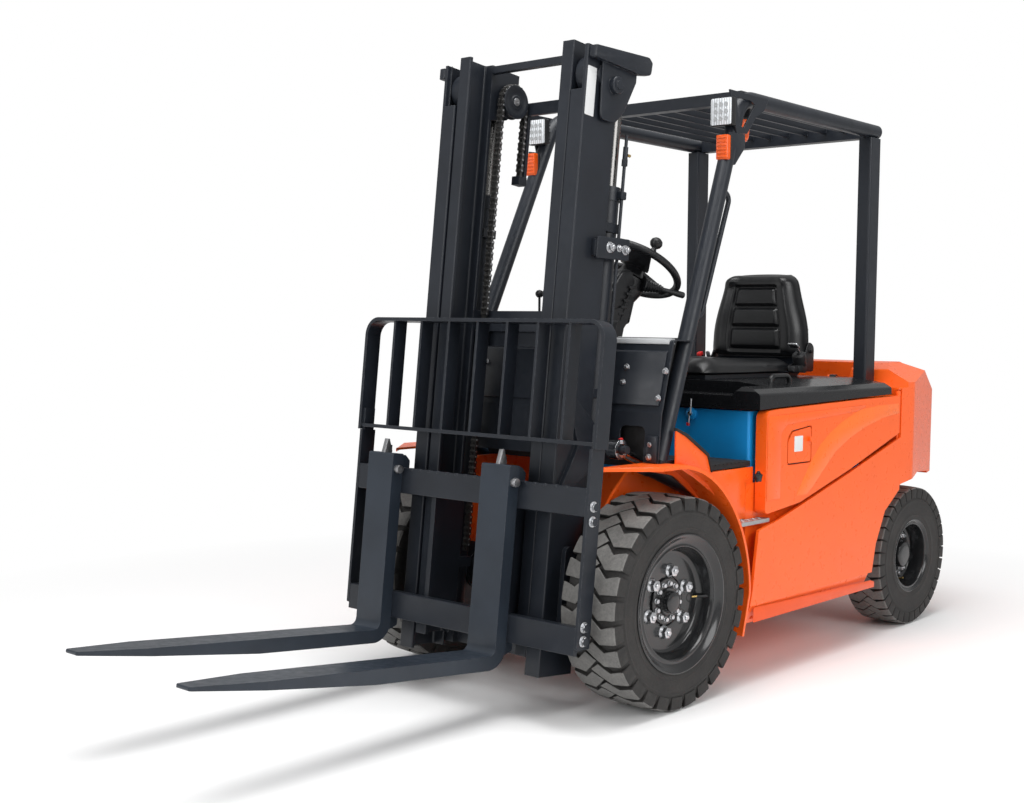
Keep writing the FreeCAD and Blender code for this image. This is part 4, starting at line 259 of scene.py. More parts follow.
ORANGE = (0.955, 0.125, 0.011)
DARK = (0.0125, 0.0155, 0.0215)
WORN = (0.10, 0.105, 0.115)
MATERIALS = {
    "orange": coat("orange_paint", ORANGE, 0.3, tint=0.03, peel=0.01, clear=0.12, edge=0.0012),
    # lighter orange than the side covers, used for the sweep band on them
    "orange_band": coat("orange_band", (0.975, 0.165, 0.016), 0.3, tint=0.03, peel=0.01, clear=0.12,
                        edge=0.0006),
    # darker orange, used for the band low along the body's side
    "orange_low": coat("orange_low", (0.80, 0.085, 0.008), 0.34, tint=0.03, peel=0.01, clear=0.08,
                       edge=0.0006),
    "dark": coat("dark_paint", DARK, 0.36, worn=WORN, peel=0.08, tint=0.12),
    "blade": coat("blade_paint", (0.02, 0.027, 0.038), 0.34, worn=WORN, peel=0.1, tint=0.12),
    "rim": coat("rim_paint", (0.012, 0.0125, 0.0135), 0.2, peel=0.02, tint=0.1, clear=0.4),
    "zinc": metal_finish("zinc", (0.62, 0.63, 0.65), 0.3, scratch=0.03, edge=0.0006),
    "galvanised": metal_finish("galvanised", (0.5, 0.51, 0.52), 0.42, scratch=0.3),
    "chrome": metal_finish("rod_chrome", (0.72, 0.73, 0.75), 0.1, scratch=0.02),
    "rod": metal_finish("lift_rod_steel", (0.2, 0.195, 0.19), 0.22, scratch=0.02),
    "chain": metal_finish("chain_steel", (0.12, 0.118, 0.115), 0.42),
    "brass": metal_finish("brass", (0.6, 0.42, 0.16), 0.3),
    "plastic": coat("black_plastic", (0.011, 0.0115, 0.013), 0.4, tint=0.1, grain=260, edge=0.0015),
    "hood": coat("hood_plastic", (0.0075, 0.008, 0.0092), 0.24, peel=0.012, tint=0.08, grain=120,
                 edge=0.0015),
    "vinyl": vinyl("seat_vinyl", (0.004, 0.0044, 0.0053), 0.31),
    "tyre": rubber("tyre_rubber", (0.0135, 0.013, 0.0125), (0.034, 0.031, 0.029)),
    "tread": rubber("tyre_tread", (0.085, 0.083, 0.08), (0.19, 0.185, 0.176), 0.09),
    "blue": coat("battery_blue", (0.007, 0.245, 0.60), 0.4, tint=0.05, peel=0.05),
    "lamp_glass": lens("lamp_glass", (0.8, 0.83, 0.86), 30, 0.06),
    "amber": lens("amber_lens", (0.9, 0.115, 0.008), 60, 0.06),
    "red": lens("red_lens", (0.5, 0.012, 0.012), 60, 0.05),
    "black": coat("dull_black", (0.004, 0.004, 0.0045), 0.7, edge=0),
    "mat": coat("floor_rubber", (0.014, 0.014, 0.0145), 0.7, peel=0.5, tint=0.2, grain=260),
    "white": coat("blank_plate", (0.72, 0.73, 0.73), 0.4, tint=0.02, peel=0.02, edge=0.0004),
    # light grey: a painted reflection of the sky on the cowl's glossy top strip, and the colour of the
    # headlamps' small reflectors
    "grey_strip": coat("grey_strip", (0.42, 0.43, 0.44), 0.35, tint=0.04),
    "red_button": coat("red_button", (0.55, 0.02, 0.02), 0.4, peel=0.05),
    "worn_steel": metal_finish("worn_steel", (0.34, 0.34, 0.35), 0.45, scratch=0.3),
}

def both(*names):
    return [f"{name}_{side}" for name in names for side, _ in SIDES]


NODE_LOOKS = {
    "orange": ["frame", "counterweight", "charge_door", *both("fender", "side_door")],
    "dark": ["outer_uprights", "outer_beams", "lift_barrels", "inner_uprights", "inner_beams", "carriage",
             "backrest", "backrest_arms", "cowl", "guard_tubes", "guard_pillars", "guard_roof", "grab_handle",
             "drive_axle", "steer_axle", "seat_frame", *both("tilt_barrel", "knuckle")],
    "blade": both("fork"),
    "rim": both("front_rim", "rear_rim"),
    "galvanised": ["steps", "pulleys"],
    "chrome": both("tilt_rod"),
    "rod": ["lift_rods"],
    "chain": ["chain_front", "chain_back"],
    "plastic": ["dashboard", "steering_column", "controls", "steering_wheel"],
    "mat": ["floor_plate"],
    "hood": ["hood"],
    "vinyl": ["seat_cushion", "seat_back"],
    "tyre": both("front_tyre", "rear_tyre"),
    "blue": ["battery"],
    "lamp_glass": ["headlamps"],
    "amber": ["amber_lamps"],
    "red": ["rear_lamps"],
}


def dress_nodes():
    for look, names in NODE_LOOKS.items():
        for name in names:
            for item in NODES[name].material_slots:
                item.material = MATERIALS[look]


# surroundings
WHITE = (1, 1, 1, 1)
FLOOR_GREY = (0.88, 0.88, 0.88, 1)
SKY_STRENGTH = 0.5
FADE_START = 1.9
FADE_END = 3.4
# name, place, aim, watts, size in metres
LAMPS = [
    ("overhead", (0.6, -0.8, 6.0), (0, 0, 0.5), 300, (4.0, 4.0)),
    ("near_side", (6.5, -1.0, 3.6), (0, 0, 1.0), 150, (4.0, 3.0)),
    ("front", (-0.5, -7.0, 3.2), (0, 0, 1.0), 150, (4.0, 3.0)),
]


def show(name, data):
    item = bpy.data.objects.new(name, data)
    bpy.context.scene.collection.objects.link(item)
    return item


def make_world():
    """Plain white for the camera and a dimmer sky for the light."""
    world = bpy.data.worlds.new("world")
    bpy.context.scene.world = world
    world.use_nodes = True
    tree = world.node_tree
    tree.nodes.clear()
    sky = node(tree, "Background", {"Color": WHITE, "Strength": SKY_STRENGTH})
    seen = node(tree, "Background", {"Color": WHITE, "Strength": 1})
    path = node(tree, "LightPath", output="Is Camera Ray")
    mix = node(tree, "MixShader", {"Fac": path, 1: sky, 2: seen})
    node(tree, "OutputWorld", {"Surface": mix})


def make_floor():
    """Matt floor that turns into the plain white of the background away from the truck."""
    shape = bmesh.new()
    bmesh.ops.create_circle(shape, cap_ends=True, radius=60, segments=96)
    data = bpy.data.meshes.new("floor")
    shape.to_mesh(data)
    shape.free()
    material, tree = new_material("floor")
    matt = node(tree, "BsdfDiffuse", {"Color": FLOOR_GREY})
    plain = node(tree, "Emission", {"Color": WHITE})
    reach = node(tree, "VectorMath", {0: place(tree)}, "Value", operation="LENGTH")
    fade = spread(tree, reach, 0, 1, FADE_START, FADE_END)
    far = product(tree, fade, node(tree, "LightPath", output="Is Camera Ray"))
    mix = node(tree, "MixShader", {"Fac": far, 1: matt, 2: plain})
    node(tree, "OutputMaterial", {"Surface": mix})
    data.materials.append(material)
    floor = show("floor", data)


def make_lights():
    for name, at, aim, power, size in LAMPS:
        data = bpy.data.lights.new(name, "AREA")
        data.shape = "RECTANGLE"
        data.size, data.size_y = size
        data.energy = power
        lamp = show(name, data)
        lamp.location = at
        lamp.rotation_euler = (Vector(aim) - Vector(at)).to_track_quat("-Z", "Y").to_euler()


# mesh helpers: shapes are drawn in millimetres and placed by truck() or mast()
def merge(shape, part, look=0, turn=None):
    if turn is not None:
        bmesh.ops.transform(part, matrix=turn, verts=part.verts)
    bmesh.ops.recalc_face_normals(part, faces=part.faces)
    for face in part.faces:
        face.material_index = look
    data = bpy.data.meshes.new("part")
    part.to_mesh(data)
    part.free()
    shape.from_mesh(data)
    bpy.data.meshes.remove(data)


def lathe(shape, at, axis, rings, sides=48, look=0, phase=0.0, caps=True):
    """Skin through rings of (distance along the axis, radius); six sides make a hexagon."""
    part = bmesh.new()
    axis = Vector(axis).normalized()
    one = Vector(UP) if abs(axis.z) < 0.9 else Vector((0, 1, 0))
    one = (one - axis * one.dot(axis)).normalized()
    two = axis.cross(one)
    rows = []
    for far, radius in rings:
        middle = Vector(at) + axis * far
        if radius < 0.001:
            rows.append([part.verts.new(middle)])
            continue
        row = []
        for k in range(sides):
            angle = 2 * math.pi * k / sides + phase
            row.append(part.verts.new(middle + (one * math.cos(angle) + two * math.sin(angle)) * radius))
        rows.append(row)
    for a, b in zip(rows, rows[1:]):
        for k in range(sides):
            n = (k + 1) % sides
            corners = list(dict.fromkeys((a[k % len(a)], a[n % len(a)], b[n % len(b)], b[k % len(b)])))
            if len(corners) > 2:
                part.faces.new(corners)
    for row in (rows[0], rows[-1]):
        if caps and len(row) > 2:
            part.faces.new(row)
    merge(shape, part, look)


def rod(shape, at, axis, radius, length, sides, look=0):
    lathe(shape, at, axis, [(0, 0), (0, radius), (length, radius), (length, 0)], sides, look)


def block(shape, low, high, edge=2.0, look=0, turn=None):
    part = bmesh.new()
    low = Vector(low)
    high = Vector(high)
    size = Matrix.Diagonal((*(high - low), 1))
    bmesh.ops.create_cube(part, size=1, matrix=Matrix.Translation((low + high) / 2) @ size)
    if edge:
        bmesh.ops.bevel(part, geom=list(part.edges), offset=edge, segments=2, profile=0.5, affect="EDGES")
    merge(shape, part, look, turn)


ARC_STEPS = 5


def rounded(outline):
    """Corners (u, v[, radius]) turned into a list of points with arcs."""
    result = []
    for index, corner in enumerate(outline):
        here = Vector(corner[:2])
        radius = corner[2] if len(corner) > 2 else 0
        if not radius:
            result.append(here)
            continue
        before = (Vector(outline[index - 1][:2]) - here).normalized()
        after = (Vector(outline[(index + 1) % len(outline)][:2]) - here).normalized()
        half = before.angle(after) / 2
        reach = radius / math.tan(half)
        for k in range(ARC_STEPS + 1):
            t = k / ARC_STEPS
            a = here + before * reach * (1 - t) ** 2
            result.append(a + after * reach * t ** 2)
    return result


PLANES = {"XY": (0, 1, 2), "XZ": (0, 2, 1), "YZ": (1, 2, 0)}


def plate(shape, plane, outline, low, high, edge=1.5, look=0, turn=None):
    """Outline drawn out from low to high along the third axis, edges softened."""
    u, v, w = PLANES[plane]
    part = bmesh.new()
    row = []
    for point in rounded(outline):
        spot = [0, 0, 0]
        spot[u], spot[v], spot[w] = point[0], point[1], low
        row.append(part.verts.new(spot))
    face = part.faces.new(row)
    made = bmesh.ops.extrude_face_region(part, geom=[face])
    moved = [item for item in made["geom"] if isinstance(item, bmesh.types.BMVert)]
    step = Vector((0, 0, 0))
    step[w] = high - low
    bmesh.ops.translate(part, vec=step, verts=moved)
    if edge:
        rims = [item for item in part.edges
                if abs(item.verts[0].co[w] - item.verts[1].co[w]) < 0.001]
        bmesh.ops.bevel(part, geom=rims, offset=edge, segments=2, profile=0.5, affect="EDGES")
    merge(shape, part, look, turn)


def side_plate(shape, side, outline, near, far, edge=1.5, look=0):
    """Upright plate along the truck, between two distances from the middle of its left or right side."""
    low, high = sorted((side * near, side * far))
    plate(shape, "YZ", outline, low, high, edge, look)


def side_block(shape, side, near, far, low, high, edge=2.0):
    """Block between two distances from the middle, low and high being (y, z)."""
    left, right = sorted((side * near, side * far))
    block(shape, (left, *low), (right, *high), edge)


def pad(u, v, half_u, half_v, radius):
    """Rectangle with rounded corners about a middle."""
    return [(u - half_u, v - half_v, radius), (u + half_u, v - half_v, radius),
            (u + half_u, v + half_v, radius), (u - half_u, v + half_v, radius)]


def piece(name, shape, looks, body, at=truck, sharp=34, swap=()):
    """Object from a shape: placed, dressed, shaded smooth up to an angle and put on its body."""
    for vertex in shape.verts:
        vertex.co = at(*vertex.co)
    data = bpy.data.meshes.new(name)
    shape.to_mesh(data)
    shape.free()
    for look in looks.split():
        data.materials.append(MATERIALS[look])
    data.shade_smooth()
    data.set_sharp_from_angle(angle=math.radians(sharp))
    item = show(name, data)
    if body:
        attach(item, body)
    if swap:
        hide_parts(*swap)
    return item


def wire(name, points, radius, look, body, at=truck, closed=False):
    """Round bar or tube along a smooth line through the given control points."""
    data = bpy.data.curves.new(name, "CURVE")
    data.dimensions = "3D"
    data.bevel_depth = radius / 1000
    data.bevel_resolution = 6
    data.use_fill_caps = True
    line = data.splines.new("NURBS")
    line.points.add(len(points) - 1)
    for spot, point in zip(line.points, points):
        spot.co = (*at(*point), 1)
    line.use_cyclic_u = closed
    line.order_u = 3
    line.use_endpoint_u = not closed
    line.resolution_u = 8
    data.materials.append(MATERIALS[look])
    item = show(name, data)
    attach(item, body)
    return item


def bolt(shape, at, axis, across=16, washer=0.0, tall=None, look=0, stud=0.0):
    """Hexagon head with a chamfered top on a washer, with a stud end where it is a nut."""
    corner = across * 0.577
    tall = tall or across * 0.55
    foot = 2 if washer else 0
    if washer:
        lathe(shape, at, axis, [(0, washer), (1.6, washer), (2.2, washer - 0.8), (2.2, 0)], 20, look)
    top = foot + tall
    head = [(foot, 0), (foot, corner), (top - 1.4, corner), (top, corner * 0.84), (top, 0)]
    lathe(shape, at, axis, head, 6, look, 0.3)
    if stud:
        end = [(top - 1, stud), (top + 4, stud), (top + 6, stud * 0.75), (top + 6, 0)]
        lathe(shape, at, axis, end, 16, look)


# wheels: the lugs are drawn for a tyre of these sizes and scaled to the others
DRAWN_RADIUS = 350
DRAWN_HALF = 111
DRAWN_PITCH = 78.5
TREAD_CURVE = 5.2
LUG_FOOT = 333
LUG_MIDDLE = 30
# outer end of a lug (side, radius), and its two long edges (side, distance round the tyre)
TOP_LINE = ((110.6, 303), (111, 320), (111, 335), (109.4, 341.5), (104, 344.6))
LUG_LOWER = ((104, 0), (75, -2), (46, -5), (15, 23), (-17, 52))
LUG_UPPER = ((104, 60), (80, 54), (58, 47), (38, 64), (20, 79))
ACROSS = (0.0, 0.0, 0.035, 0.35, 0.65, 0.965, 1.0, 1.0)


def lug_stations():
    """Cross lines of a lug: two ends, radius, inner foot and kind (0 foot, 1 top, 2 and 3 inner end)."""
    stations = [((x, 0), (x, 60), r, (x - 8, r - 2)) for x, r in TOP_LINE]
    stations += [(a, b, None, None) for a, b in zip(LUG_LOWER, LUG_UPPER)]
    listed = [(*stations[0], 0)] + [(*item, 1) for item in stations]
    return listed + [(*stations[-1], 2), (*stations[-1], 3)]


def lug_point(station, k, start, radius, long, fill):
    """Side, radius and angle of a lug's corner on one of its cross lines."""
    a, b, r, inner, kind = station
    t = ACROSS[k]
    x = a[0] + (b[0] - a[0]) * t
    s = (a[1] + (b[1] - a[1]) * t) * long
    s = LUG_MIDDLE * long + (s - LUG_MIDDLE * long) * fill
    top = DRAWN_RADIUS - TREAD_CURVE * (x / DRAWN_HALF) ** 2 if r is None else r
    edge = k in (1, 6)
    if k in (0, 7) or kind in (0, 3):
        at_x, at_r = (x, LUG_FOOT) if inner is None else inner
    else:
        at_x = x - (0.8 if inner is not None and edge else 0)
        at_r = top - (1.6 if edge or kind == 2 else 0)
    if kind in (2, 3):
        at_x -= 1.5
    return at_x, at_r, (start + s) / radius


def tyre(name, side, middle, radius, half, pitch_count, bead, body, swap, fill=1.0):
    """Carcass with ring lines and two staggered rows of arrow-shaped lugs, each a closed form."""
    tall = radius - DRAWN_RADIUS
    shape = bmesh.new()
    low = bead + 3
    wall = ((0.80, low - 5), (0.88, low - 4), (0.93, low), (0.957, low + 7), (0.965, low + 15),
            (0.978, low + 17), (0.978, low + 20), (0.968, low + 22), (0.98, low + 38), (0.986, 278 + tall),
            (0.985, 288 + tall), (1, 291 + tall), (1, 294 + tall), (0.982, 297 + tall), (0.965, 305 + tall),
            (0.94, 318 + tall), (0.90, 328 + tall), (0.84, 333 + tall), (0.6, 335 + tall), (0, 336 + tall))
    near = [(share * half, r) for share, r in wall]
    lathe(shape, middle, SIDEWAYS, near + [(-x, r) for x, r in reversed(near[:-1])], 128, caps=False)
    lathe(shape, middle, SIDEWAYS, [near[0], (-near[0][0], near[0][1])], 128, caps=False)
    pitch = 2 * math.pi * radius / pitch_count
    for flip in (1, -1):
        for index in range(pitch_count):
            part = bmesh.new()
            start = index * pitch + (pitch / 2 if flip < 0 else 0)
            rows = []
            for station in lug_stations():
                row = []
                for k in range(len(ACROSS)):
                    x, r, angle = lug_point(station, k, start, radius, pitch / DRAWN_PITCH, fill)
                    x *= side * flip * half / DRAWN_HALF
                    r += tall
                    spot = Vector((x, -r * math.cos(angle), r * math.sin(angle)))
                    row.append(part.verts.new(Vector(middle) + spot))
                rows.append(row)
            for a, b in zip(rows, rows[1:]):
                for k in range(len(ACROSS) - 1):
                    part.faces.new((a[k], a[k + 1], b[k + 1], b[k]))
            merge(shape, part)
    for face in shape.faces:
        centre = face.calc_center_median()
        out = math.hypot(centre.y - middle[1], centre.z - middle[2])
        flat = abs(face.normal.x) < 0.5 or out > radius - 8
        if out > radius - 7.5 and flat:
            face.material_index = 1
    piece(f"{name}_form", shape, "tyre tread", body, sharp=28, swap=swap)


FRONT_HALF_TRACK = 502
FRONT_HIGH = 350
FRONT_HALF = 111
FRONT_LUGS = 28
FRONT_BEAD = 225
REAR_HALF_TRACK = 490
REAR_BACK = 1650
REAR_HIGH = 292
REAR_HALF = 87
REAR_LUGS = 34
REAR_BEAD = 152
REAR_FILL = 1.16
WHEEL_NUTS = 6
HUB_BOLTS = 12
NUT_PHASE = math.radians(9)
NUT_CIRCLE = 101
HUB_CIRCLE = 59
# rims turned from their inner edge to the hub's middle: (distance outwards, radius)
FRONT_RIM_LINE = ((-88, 223), (-60, 210), (-20, 205), (38, 196), (62, 200), (80, 208), (88, 218), (88, 222),
                  (94, 223.5), (100, 226.5), (104.5, 229), (107.4, 228.4), (108.4, 224), (106.4, 219),
                  (101, 213.5), (95.5, 206), (92, 199), (91, 193), (92.4, 189), (94, 186.6), (93.4, 184),
                  (90, 181.6), (80, 178.6), (64, 175), (50, 171), (43.5, 166.5), (40.6, 161), (40, 154),
                  (40, 88), (39, 83), (34, 81.5), (34, 77.5), (43, 76), (44.5, 74), (44.5, 47), (47, 45),
                  (52, 43.5), (52, 36), (66, 35.4), (71, 33), (73.6, 28), (74.6, 18), (75, 0))
REAR_RIM_LINE = ((-66, 152), (-40, 140), (20, 132), (66, 150), (72, 152.5), (77, 155), (80.5, 155.4),
                 (82, 152), (80.6, 147.5), (77, 143.5), (73.4, 140), (74.5, 136), (74, 132.6), (68, 130.4),
                 (40, 127), (8, 122), (2, 116), (0, 108), (0, 60), (26, 57), (40, 54.5), (46, 51), (49, 44),
                 (50, 30), (50.5, 0))


def circle(middle, out, radius, count, phase):
    """Spots on a circle about a wheel's middle, some way out along its axle."""
    for index in range(count):
        angle = 2 * math.pi * index / count + phase
        yield middle[0] + out, middle[1] + math.sin(angle) * radius, middle[2] + math.cos(angle) * radius


def front_wheel(name, side):
    middle = (side * FRONT_HALF_TRACK, 0, FRONT_HIGH)
    body = f"front_wheel_{name}"
    node_name = f"front_tyre_{name}"
    tyre(node_name, side, middle, FRONT_HIGH, FRONT_HALF, FRONT_LUGS, FRONT_BEAD, body, (node_name,))
    shape = bmesh.new()
    axis = (side, 0, 0)
    lathe(shape, middle, axis, FRONT_RIM_LINE, 112, caps=False)
    for spot in circle(middle, side * 40, NUT_CIRCLE, WHEEL_NUTS, NUT_PHASE):
        lathe(shape, spot, axis, [(0, 23), (2, 23), (8, 17.5), (8, 0)], 28, 1)
        bolt(shape, (spot[0] + side * 7, *spot[1:]), axis, 33, 0, 17, 1, 9.5)
    for spot in circle(middle, side * 44.3, HUB_CIRCLE, HUB_BOLTS, NUT_PHASE):
        bolt(shape, spot, axis, 14, 9, 8, 1)
    hole = (middle[0] + side * 40, 121, middle[2] - 6)
    grommet = [(-6, 12.5), (0.8, 13.6), (1.2, 12.5), (0.4, 11.6), (-8, 11), (-8, 0)]
    lathe(shape, hole, axis, grommet, 28, 2)
    lathe(shape, (hole[0], 137, hole[2]), (side * 0.55, 0.83, 0), [(0, 3.6), (20, 3.6), (20, 0)], 14, 3)
    tube = (hole[0] + side * 10, 152, hole[2])
    lathe(shape, tube, (side * 0.6, 0.8, 0), [(0, 5), (52, 5.5), (52, 0)], 14, 2)
    piece(f"front_rim_{name}_form", shape, "rim zinc plastic brass", body,
          swap=(f"front_rim_{name}",))


def rear_wheel(name, side):
    middle = (side * REAR_HALF_TRACK, REAR_BACK, REAR_HIGH)
    body = f"rear_wheel_{name}"
    node_name = f"rear_tyre_{name}"
    tyre(node_name, side, middle, REAR_HIGH, REAR_HALF, REAR_LUGS, REAR_BEAD, body, (node_name,), REAR_FILL)
    shape = bmesh.new()
    axis = (side, 0, 0)
    lathe(shape, middle, axis, REAR_RIM_LINE, 96, caps=False)
    near = circle(middle, 0, 84, WHEEL_NUTS, 0.4)
    far = circle(middle, 0, 92, WHEEL_NUTS, 0.74)
    for spots in zip(near, far):
        for spot, across in zip(spots, (24, 17)):
            bolt(shape, spot, axis, across, across * 0.72, across * 0.6, 1, across * 0.26)
    lathe(shape, (middle[0] + side * 8, middle[1] + 18, middle[2] - 112), (side, 0, 0.3),
          [(0, 4), (26, 4), (26, 0)], 14, 2)
    piece(f"rear_rim_{name}_form", shape, "rim zinc brass", body, swap=(f"rear_rim_{name}",))


# seat
GRID = 128


def padded_form(name, front, back):
    """Closed form from a front and a back sheet, each a function of (u, v) from -1 to 1 and 0 to 1."""
    shape = bmesh.new()
    sheets = []
    for sheet in (front, back):
        sheets.append([[shape.verts.new(sheet(2 * i / GRID - 1, j / GRID)) for i in range(GRID + 1)]
                       for j in range(GRID + 1)])
    for lines in sheets:
        for a, b in zip(lines, lines[1:]):
            for i in range(GRID):
                shape.faces.new((a[i], a[i + 1], b[i + 1], b[i]))
    edge = []
    for lines in sheets:
        loop = list(lines[0]) + [row[-1] for row in lines[1:]] + list(reversed(lines[-1][:-1]))
        edge.append(loop + [row[0] for row in reversed(lines[1:-1])])
    count = len(edge[0])
    for k in range(count):
        n = (k + 1) % count
        shape.faces.new((edge[0][k], edge[0][n], edge[1][n], edge[1][k]))
    bmesh.ops.recalc_face_normals(shape, faces=shape.faces)
    return piece(f"{name}_form", shape, "vinyl", "hood_and_seat", sharp=80, swap=(name,))


def step(value, low, high):
    """Smooth rise from 0 to 1 between low and high."""
    t = min(1, max(0, (value - low) / (high - low)))
    return t * t * (3 - 2 * t)


SEAT_LOW = 1126
SEAT_TOP = 1464
BACK_AT = 1352
PANEL_HALF = 0.56
PADS = ((0.10, 0.33), (0.37, 0.58), (0.62, 0.83))
CUSHION_FRONT = 604
CUSHION_LONG = 622
CUSHION_FOOT = 1072
SEAM_AT = 0.58


def back_half(v):
    """Half width of the seat back at height v from 0 to 1, narrowing upward with a rounded top."""
    width = 232 - 18 * v - 44 * step(v, 0.25, 1.0)
    top = max(0, (v - 0.86) / 0.14)
    foot = max(0, (0.06 - v) / 0.06)
    return width * (1 - 0.20 * top ** 3) * (1 - 0.04 * foot ** 2)


def back_lean(v):
    return BACK_AT + 8 * v


def hump(value, middle, width):
    return math.exp(-((value - middle) / width) ** 2)


def rim_fade(u, v, power_u, power_v, root):
    """1 over the middle of a sheet, falling to 0 at its edges."""
    return max(0, 1 - abs(u) ** power_u) ** root * max(0, 1 - abs(2 * v - 1) ** power_v) ** root


def back_front(u, v):
    """Front of the seat back: side bolsters, top roll and three pads in a sunk panel."""
    edge = rim_fade(u, v, 7, 16, 0.4)
    bolster = 14 * hump(abs(u), 0.80, 0.16)
    roll = 8 * hump(v, 0.93, 0.06)
    depth = 62 + bolster + roll - 10 * step(v, 0.5, 1)
    panel = step(PANEL_HALF + 0.05 - abs(u), 0, 0.05) * step(v, 0.02, 0.08) * step(0.88 - v, 0, 0.04)
    depth -= 14 * panel
    for low, high in PADS:
        rise = step(PANEL_HALF - abs(u), 0, 0.10)
        rise *= step(v, low - 0.02, low + 0.03) * step(high + 0.02 - v, 0, 0.05)
        crown = 1 - 0.25 * ((v - (low + high) / 2) / ((high - low) / 2)) ** 2
        depth += 17 * rise * crown
    bow = 12 * u * u
    y = back_lean(v) - 24 - (depth + bow) * edge
    return Vector((u * back_half(v), y, SEAT_LOW + (SEAT_TOP - SEAT_LOW) * v))


def back_rear(u, v):
    y = back_lean(v) - 22 + 18 * rim_fade(u, v, 6, 12, 0.5)
    return Vector((u * back_half(v), y, SEAT_LOW + (SEAT_TOP - SEAT_LOW) * v))


def cushion_edge(u, v):
    return rim_fade(u, v, 6, 9, 0.5)


def cushion_place(u, v):
    half = 250 - 16 * step(v, 0.6, 1) - 22 * max(0, (0.12 - v) / 0.12) ** 2
    return u * half, CUSHION_FRONT + CUSHION_LONG * v


def cushion_top(u, v):
    """Top of the seat cushion: front roll, side bolsters, sewn lines and a hollow to sit in."""
    x, y = cushion_place(u, v)
    height = 48 + 8 * hump(v, 0.10, 0.09) + 9 * hump(abs(u), 0.82, 0.14)
    height -= 6 * hump(abs(u), SEAM_AT, 0.022) * step(v, 0.2, 0.26)
    height -= 6 * hump(v, 0.23, 0.012) * step(0.6 - abs(u), 0, 0.03)
    height -= 5 * hump(abs(u), SEAM_AT, 0.05) * hump(v, 0.02, 0.05)
    height -= 6 * hump(v, 0.6, 0.3) * hump(u, 0, 0.5)
    return Vector((x, y, CUSHION_FOOT + height * cushion_edge(u, v)))


def cushion_under(u, v):
    x, y = cushion_place(u, v)
    return Vector((x, y, CUSHION_FOOT - 2 - 6 * cushion_edge(u, v)))


def make_seat():
    back = padded_form("seat_back", back_front, back_rear)
    cushion = padded_form("seat_cushion", cushion_top, cushion_under)
    heights = [k / 16 for k in range(17)]
    welt = [(back_half(v), back_lean(v) - 23, SEAT_LOW + (SEAT_TOP - SEAT_LOW) * v) for v in heights]
    loop = welt + [(-x, y, z) for x, y, z in reversed(welt)]
    wire("seat_back_welt", loop, 3.2, "vinyl", "hood_and_seat", closed=True)
    around = [(-226, 612), (226, 612), (248, 700), (250, 900), (240, 1100), (232, 1216), (-232, 1216),
              (-240, 1100), (-250, 900), (-248, 700)]
    loop = [(x, y, CUSHION_FOOT - 1) for x, y in around]
    wire("seat_cushion_welt", loop, 3, "vinyl", "hood_and_seat", closed=True)
    shape = bmesh.new()
    hinge = [(1170, 1064, 10), (1366, 1064, 14), (1368, 1170, 30), (1330, 1190, 20), (1290, 1120, 30),
             (1180, 1092, 12)]
    for side in (1, -1):
        side_plate(shape, side, hinge, 231, 237)
        bolt(shape, (side * 237, 1340, 1150), (side, 0, 0), 16, 11, 8, 0)
    piece("seat_hinge_plates", shape, "plastic", "hood_and_seat")
    shape = bmesh.new()
    reel = (256, 1226, 1112)
    lean = (0.15, -0.45, 0.85)
    lathe(shape, reel, lean, [(-26, 0), (-26, 26), (20, 29), (28, 27), (34, 20), (36, 0)], 32)
    block(shape, (240, 1192, 1062), (278, 1250, 1092), 5)
    plate(shape, "YZ", [(1158, 1064, 8), (1200, 1064, 8), (1200, 1094, 14), (1166, 1090, 10)], 244, 272, 2)
    buckle = Matrix.Translation((264, 1168, 1172)) @ Matrix.Rotation(math.radians(-34), 4, "X")
    plate(shape, "XY", pad(0, 0, 22, 15, 4), -3, 3, 1, 1, buckle)
    block(shape, (-17, -10, -5), (17, 10, 5), 1.5, 0, buckle)
    plate(shape, "XY", [(-10, 13), (10, 13), (7, 48), (-7, 48)], -1.5, 1.5, 0.4, 1, buckle)
    hold = Matrix.Translation((-246, 1226, 1116)) @ Matrix.Rotation(math.radians(20), 4, "X")
    block(shape, (-8, -14, -54), (8, 14, 6), 3, 0, hold)
    block(shape, (-9, -13, 4), (9, 13, 20), 2.5, 2, hold)
    plate(shape, "XZ", [(34, -10, 3), (54, -10, 3), (54, 26, 8), (34, 26, 8)], -2, 2, 0.6, 1, hold)
    piece("seat_belt", shape, "plastic zinc red_button", "hood_and_seat")


# mast
CHAIN_SIDE = 186
LINK_PITCH = 19.05
LINKS_WIDE = (-11, -3.7, 3.7, 11)
LINKS_NARROW = (-7.4, 0.0, 7.4)
LINK_HALF_THICK = 1.3
PIN_HALF = 13
PIN_RADIUS = 3.2


def link_row(shape, index, outline, middle, look=0, turn=None):
    """Plates of one link side by side, four or three in turn."""
    for x in LINKS_WIDE if index % 2 else LINKS_NARROW:
        x += middle
        plate(shape, "YZ", outline, x - LINK_HALF_THICK, x + LINK_HALF_THICK, 0, look, turn)


def chain_strand(name, y, low, high, node):
    """Leaf chain: rows of waisted plates, wide and narrow in turn, with a pin through each joint."""
    shape = bmesh.new()
    for side in (1, -1):
        middle = side * CHAIN_SIDE
        count = int((high - low) / LINK_PITCH)
        for index in range(count):
            z = low + LINK_PITCH * (index + 0.5)
            outline = [(y - 9, z - 14, 5), (y + 9, z - 14, 5), (y + 5, z, 3), (y + 9, z + 14, 5),
                       (y - 9, z + 14, 5), (y - 5, z, 3)]
            link_row(shape, index, outline, middle)
            pin = (middle - PIN_HALF, y, z + LINK_PITCH / 2)
            rod(shape, pin, SIDEWAYS, PIN_RADIUS, 2 * PIN_HALF, 10, 1)
    item = piece(name, shape, "chain zinc", "", mast, swap=(node,))
    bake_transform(item)


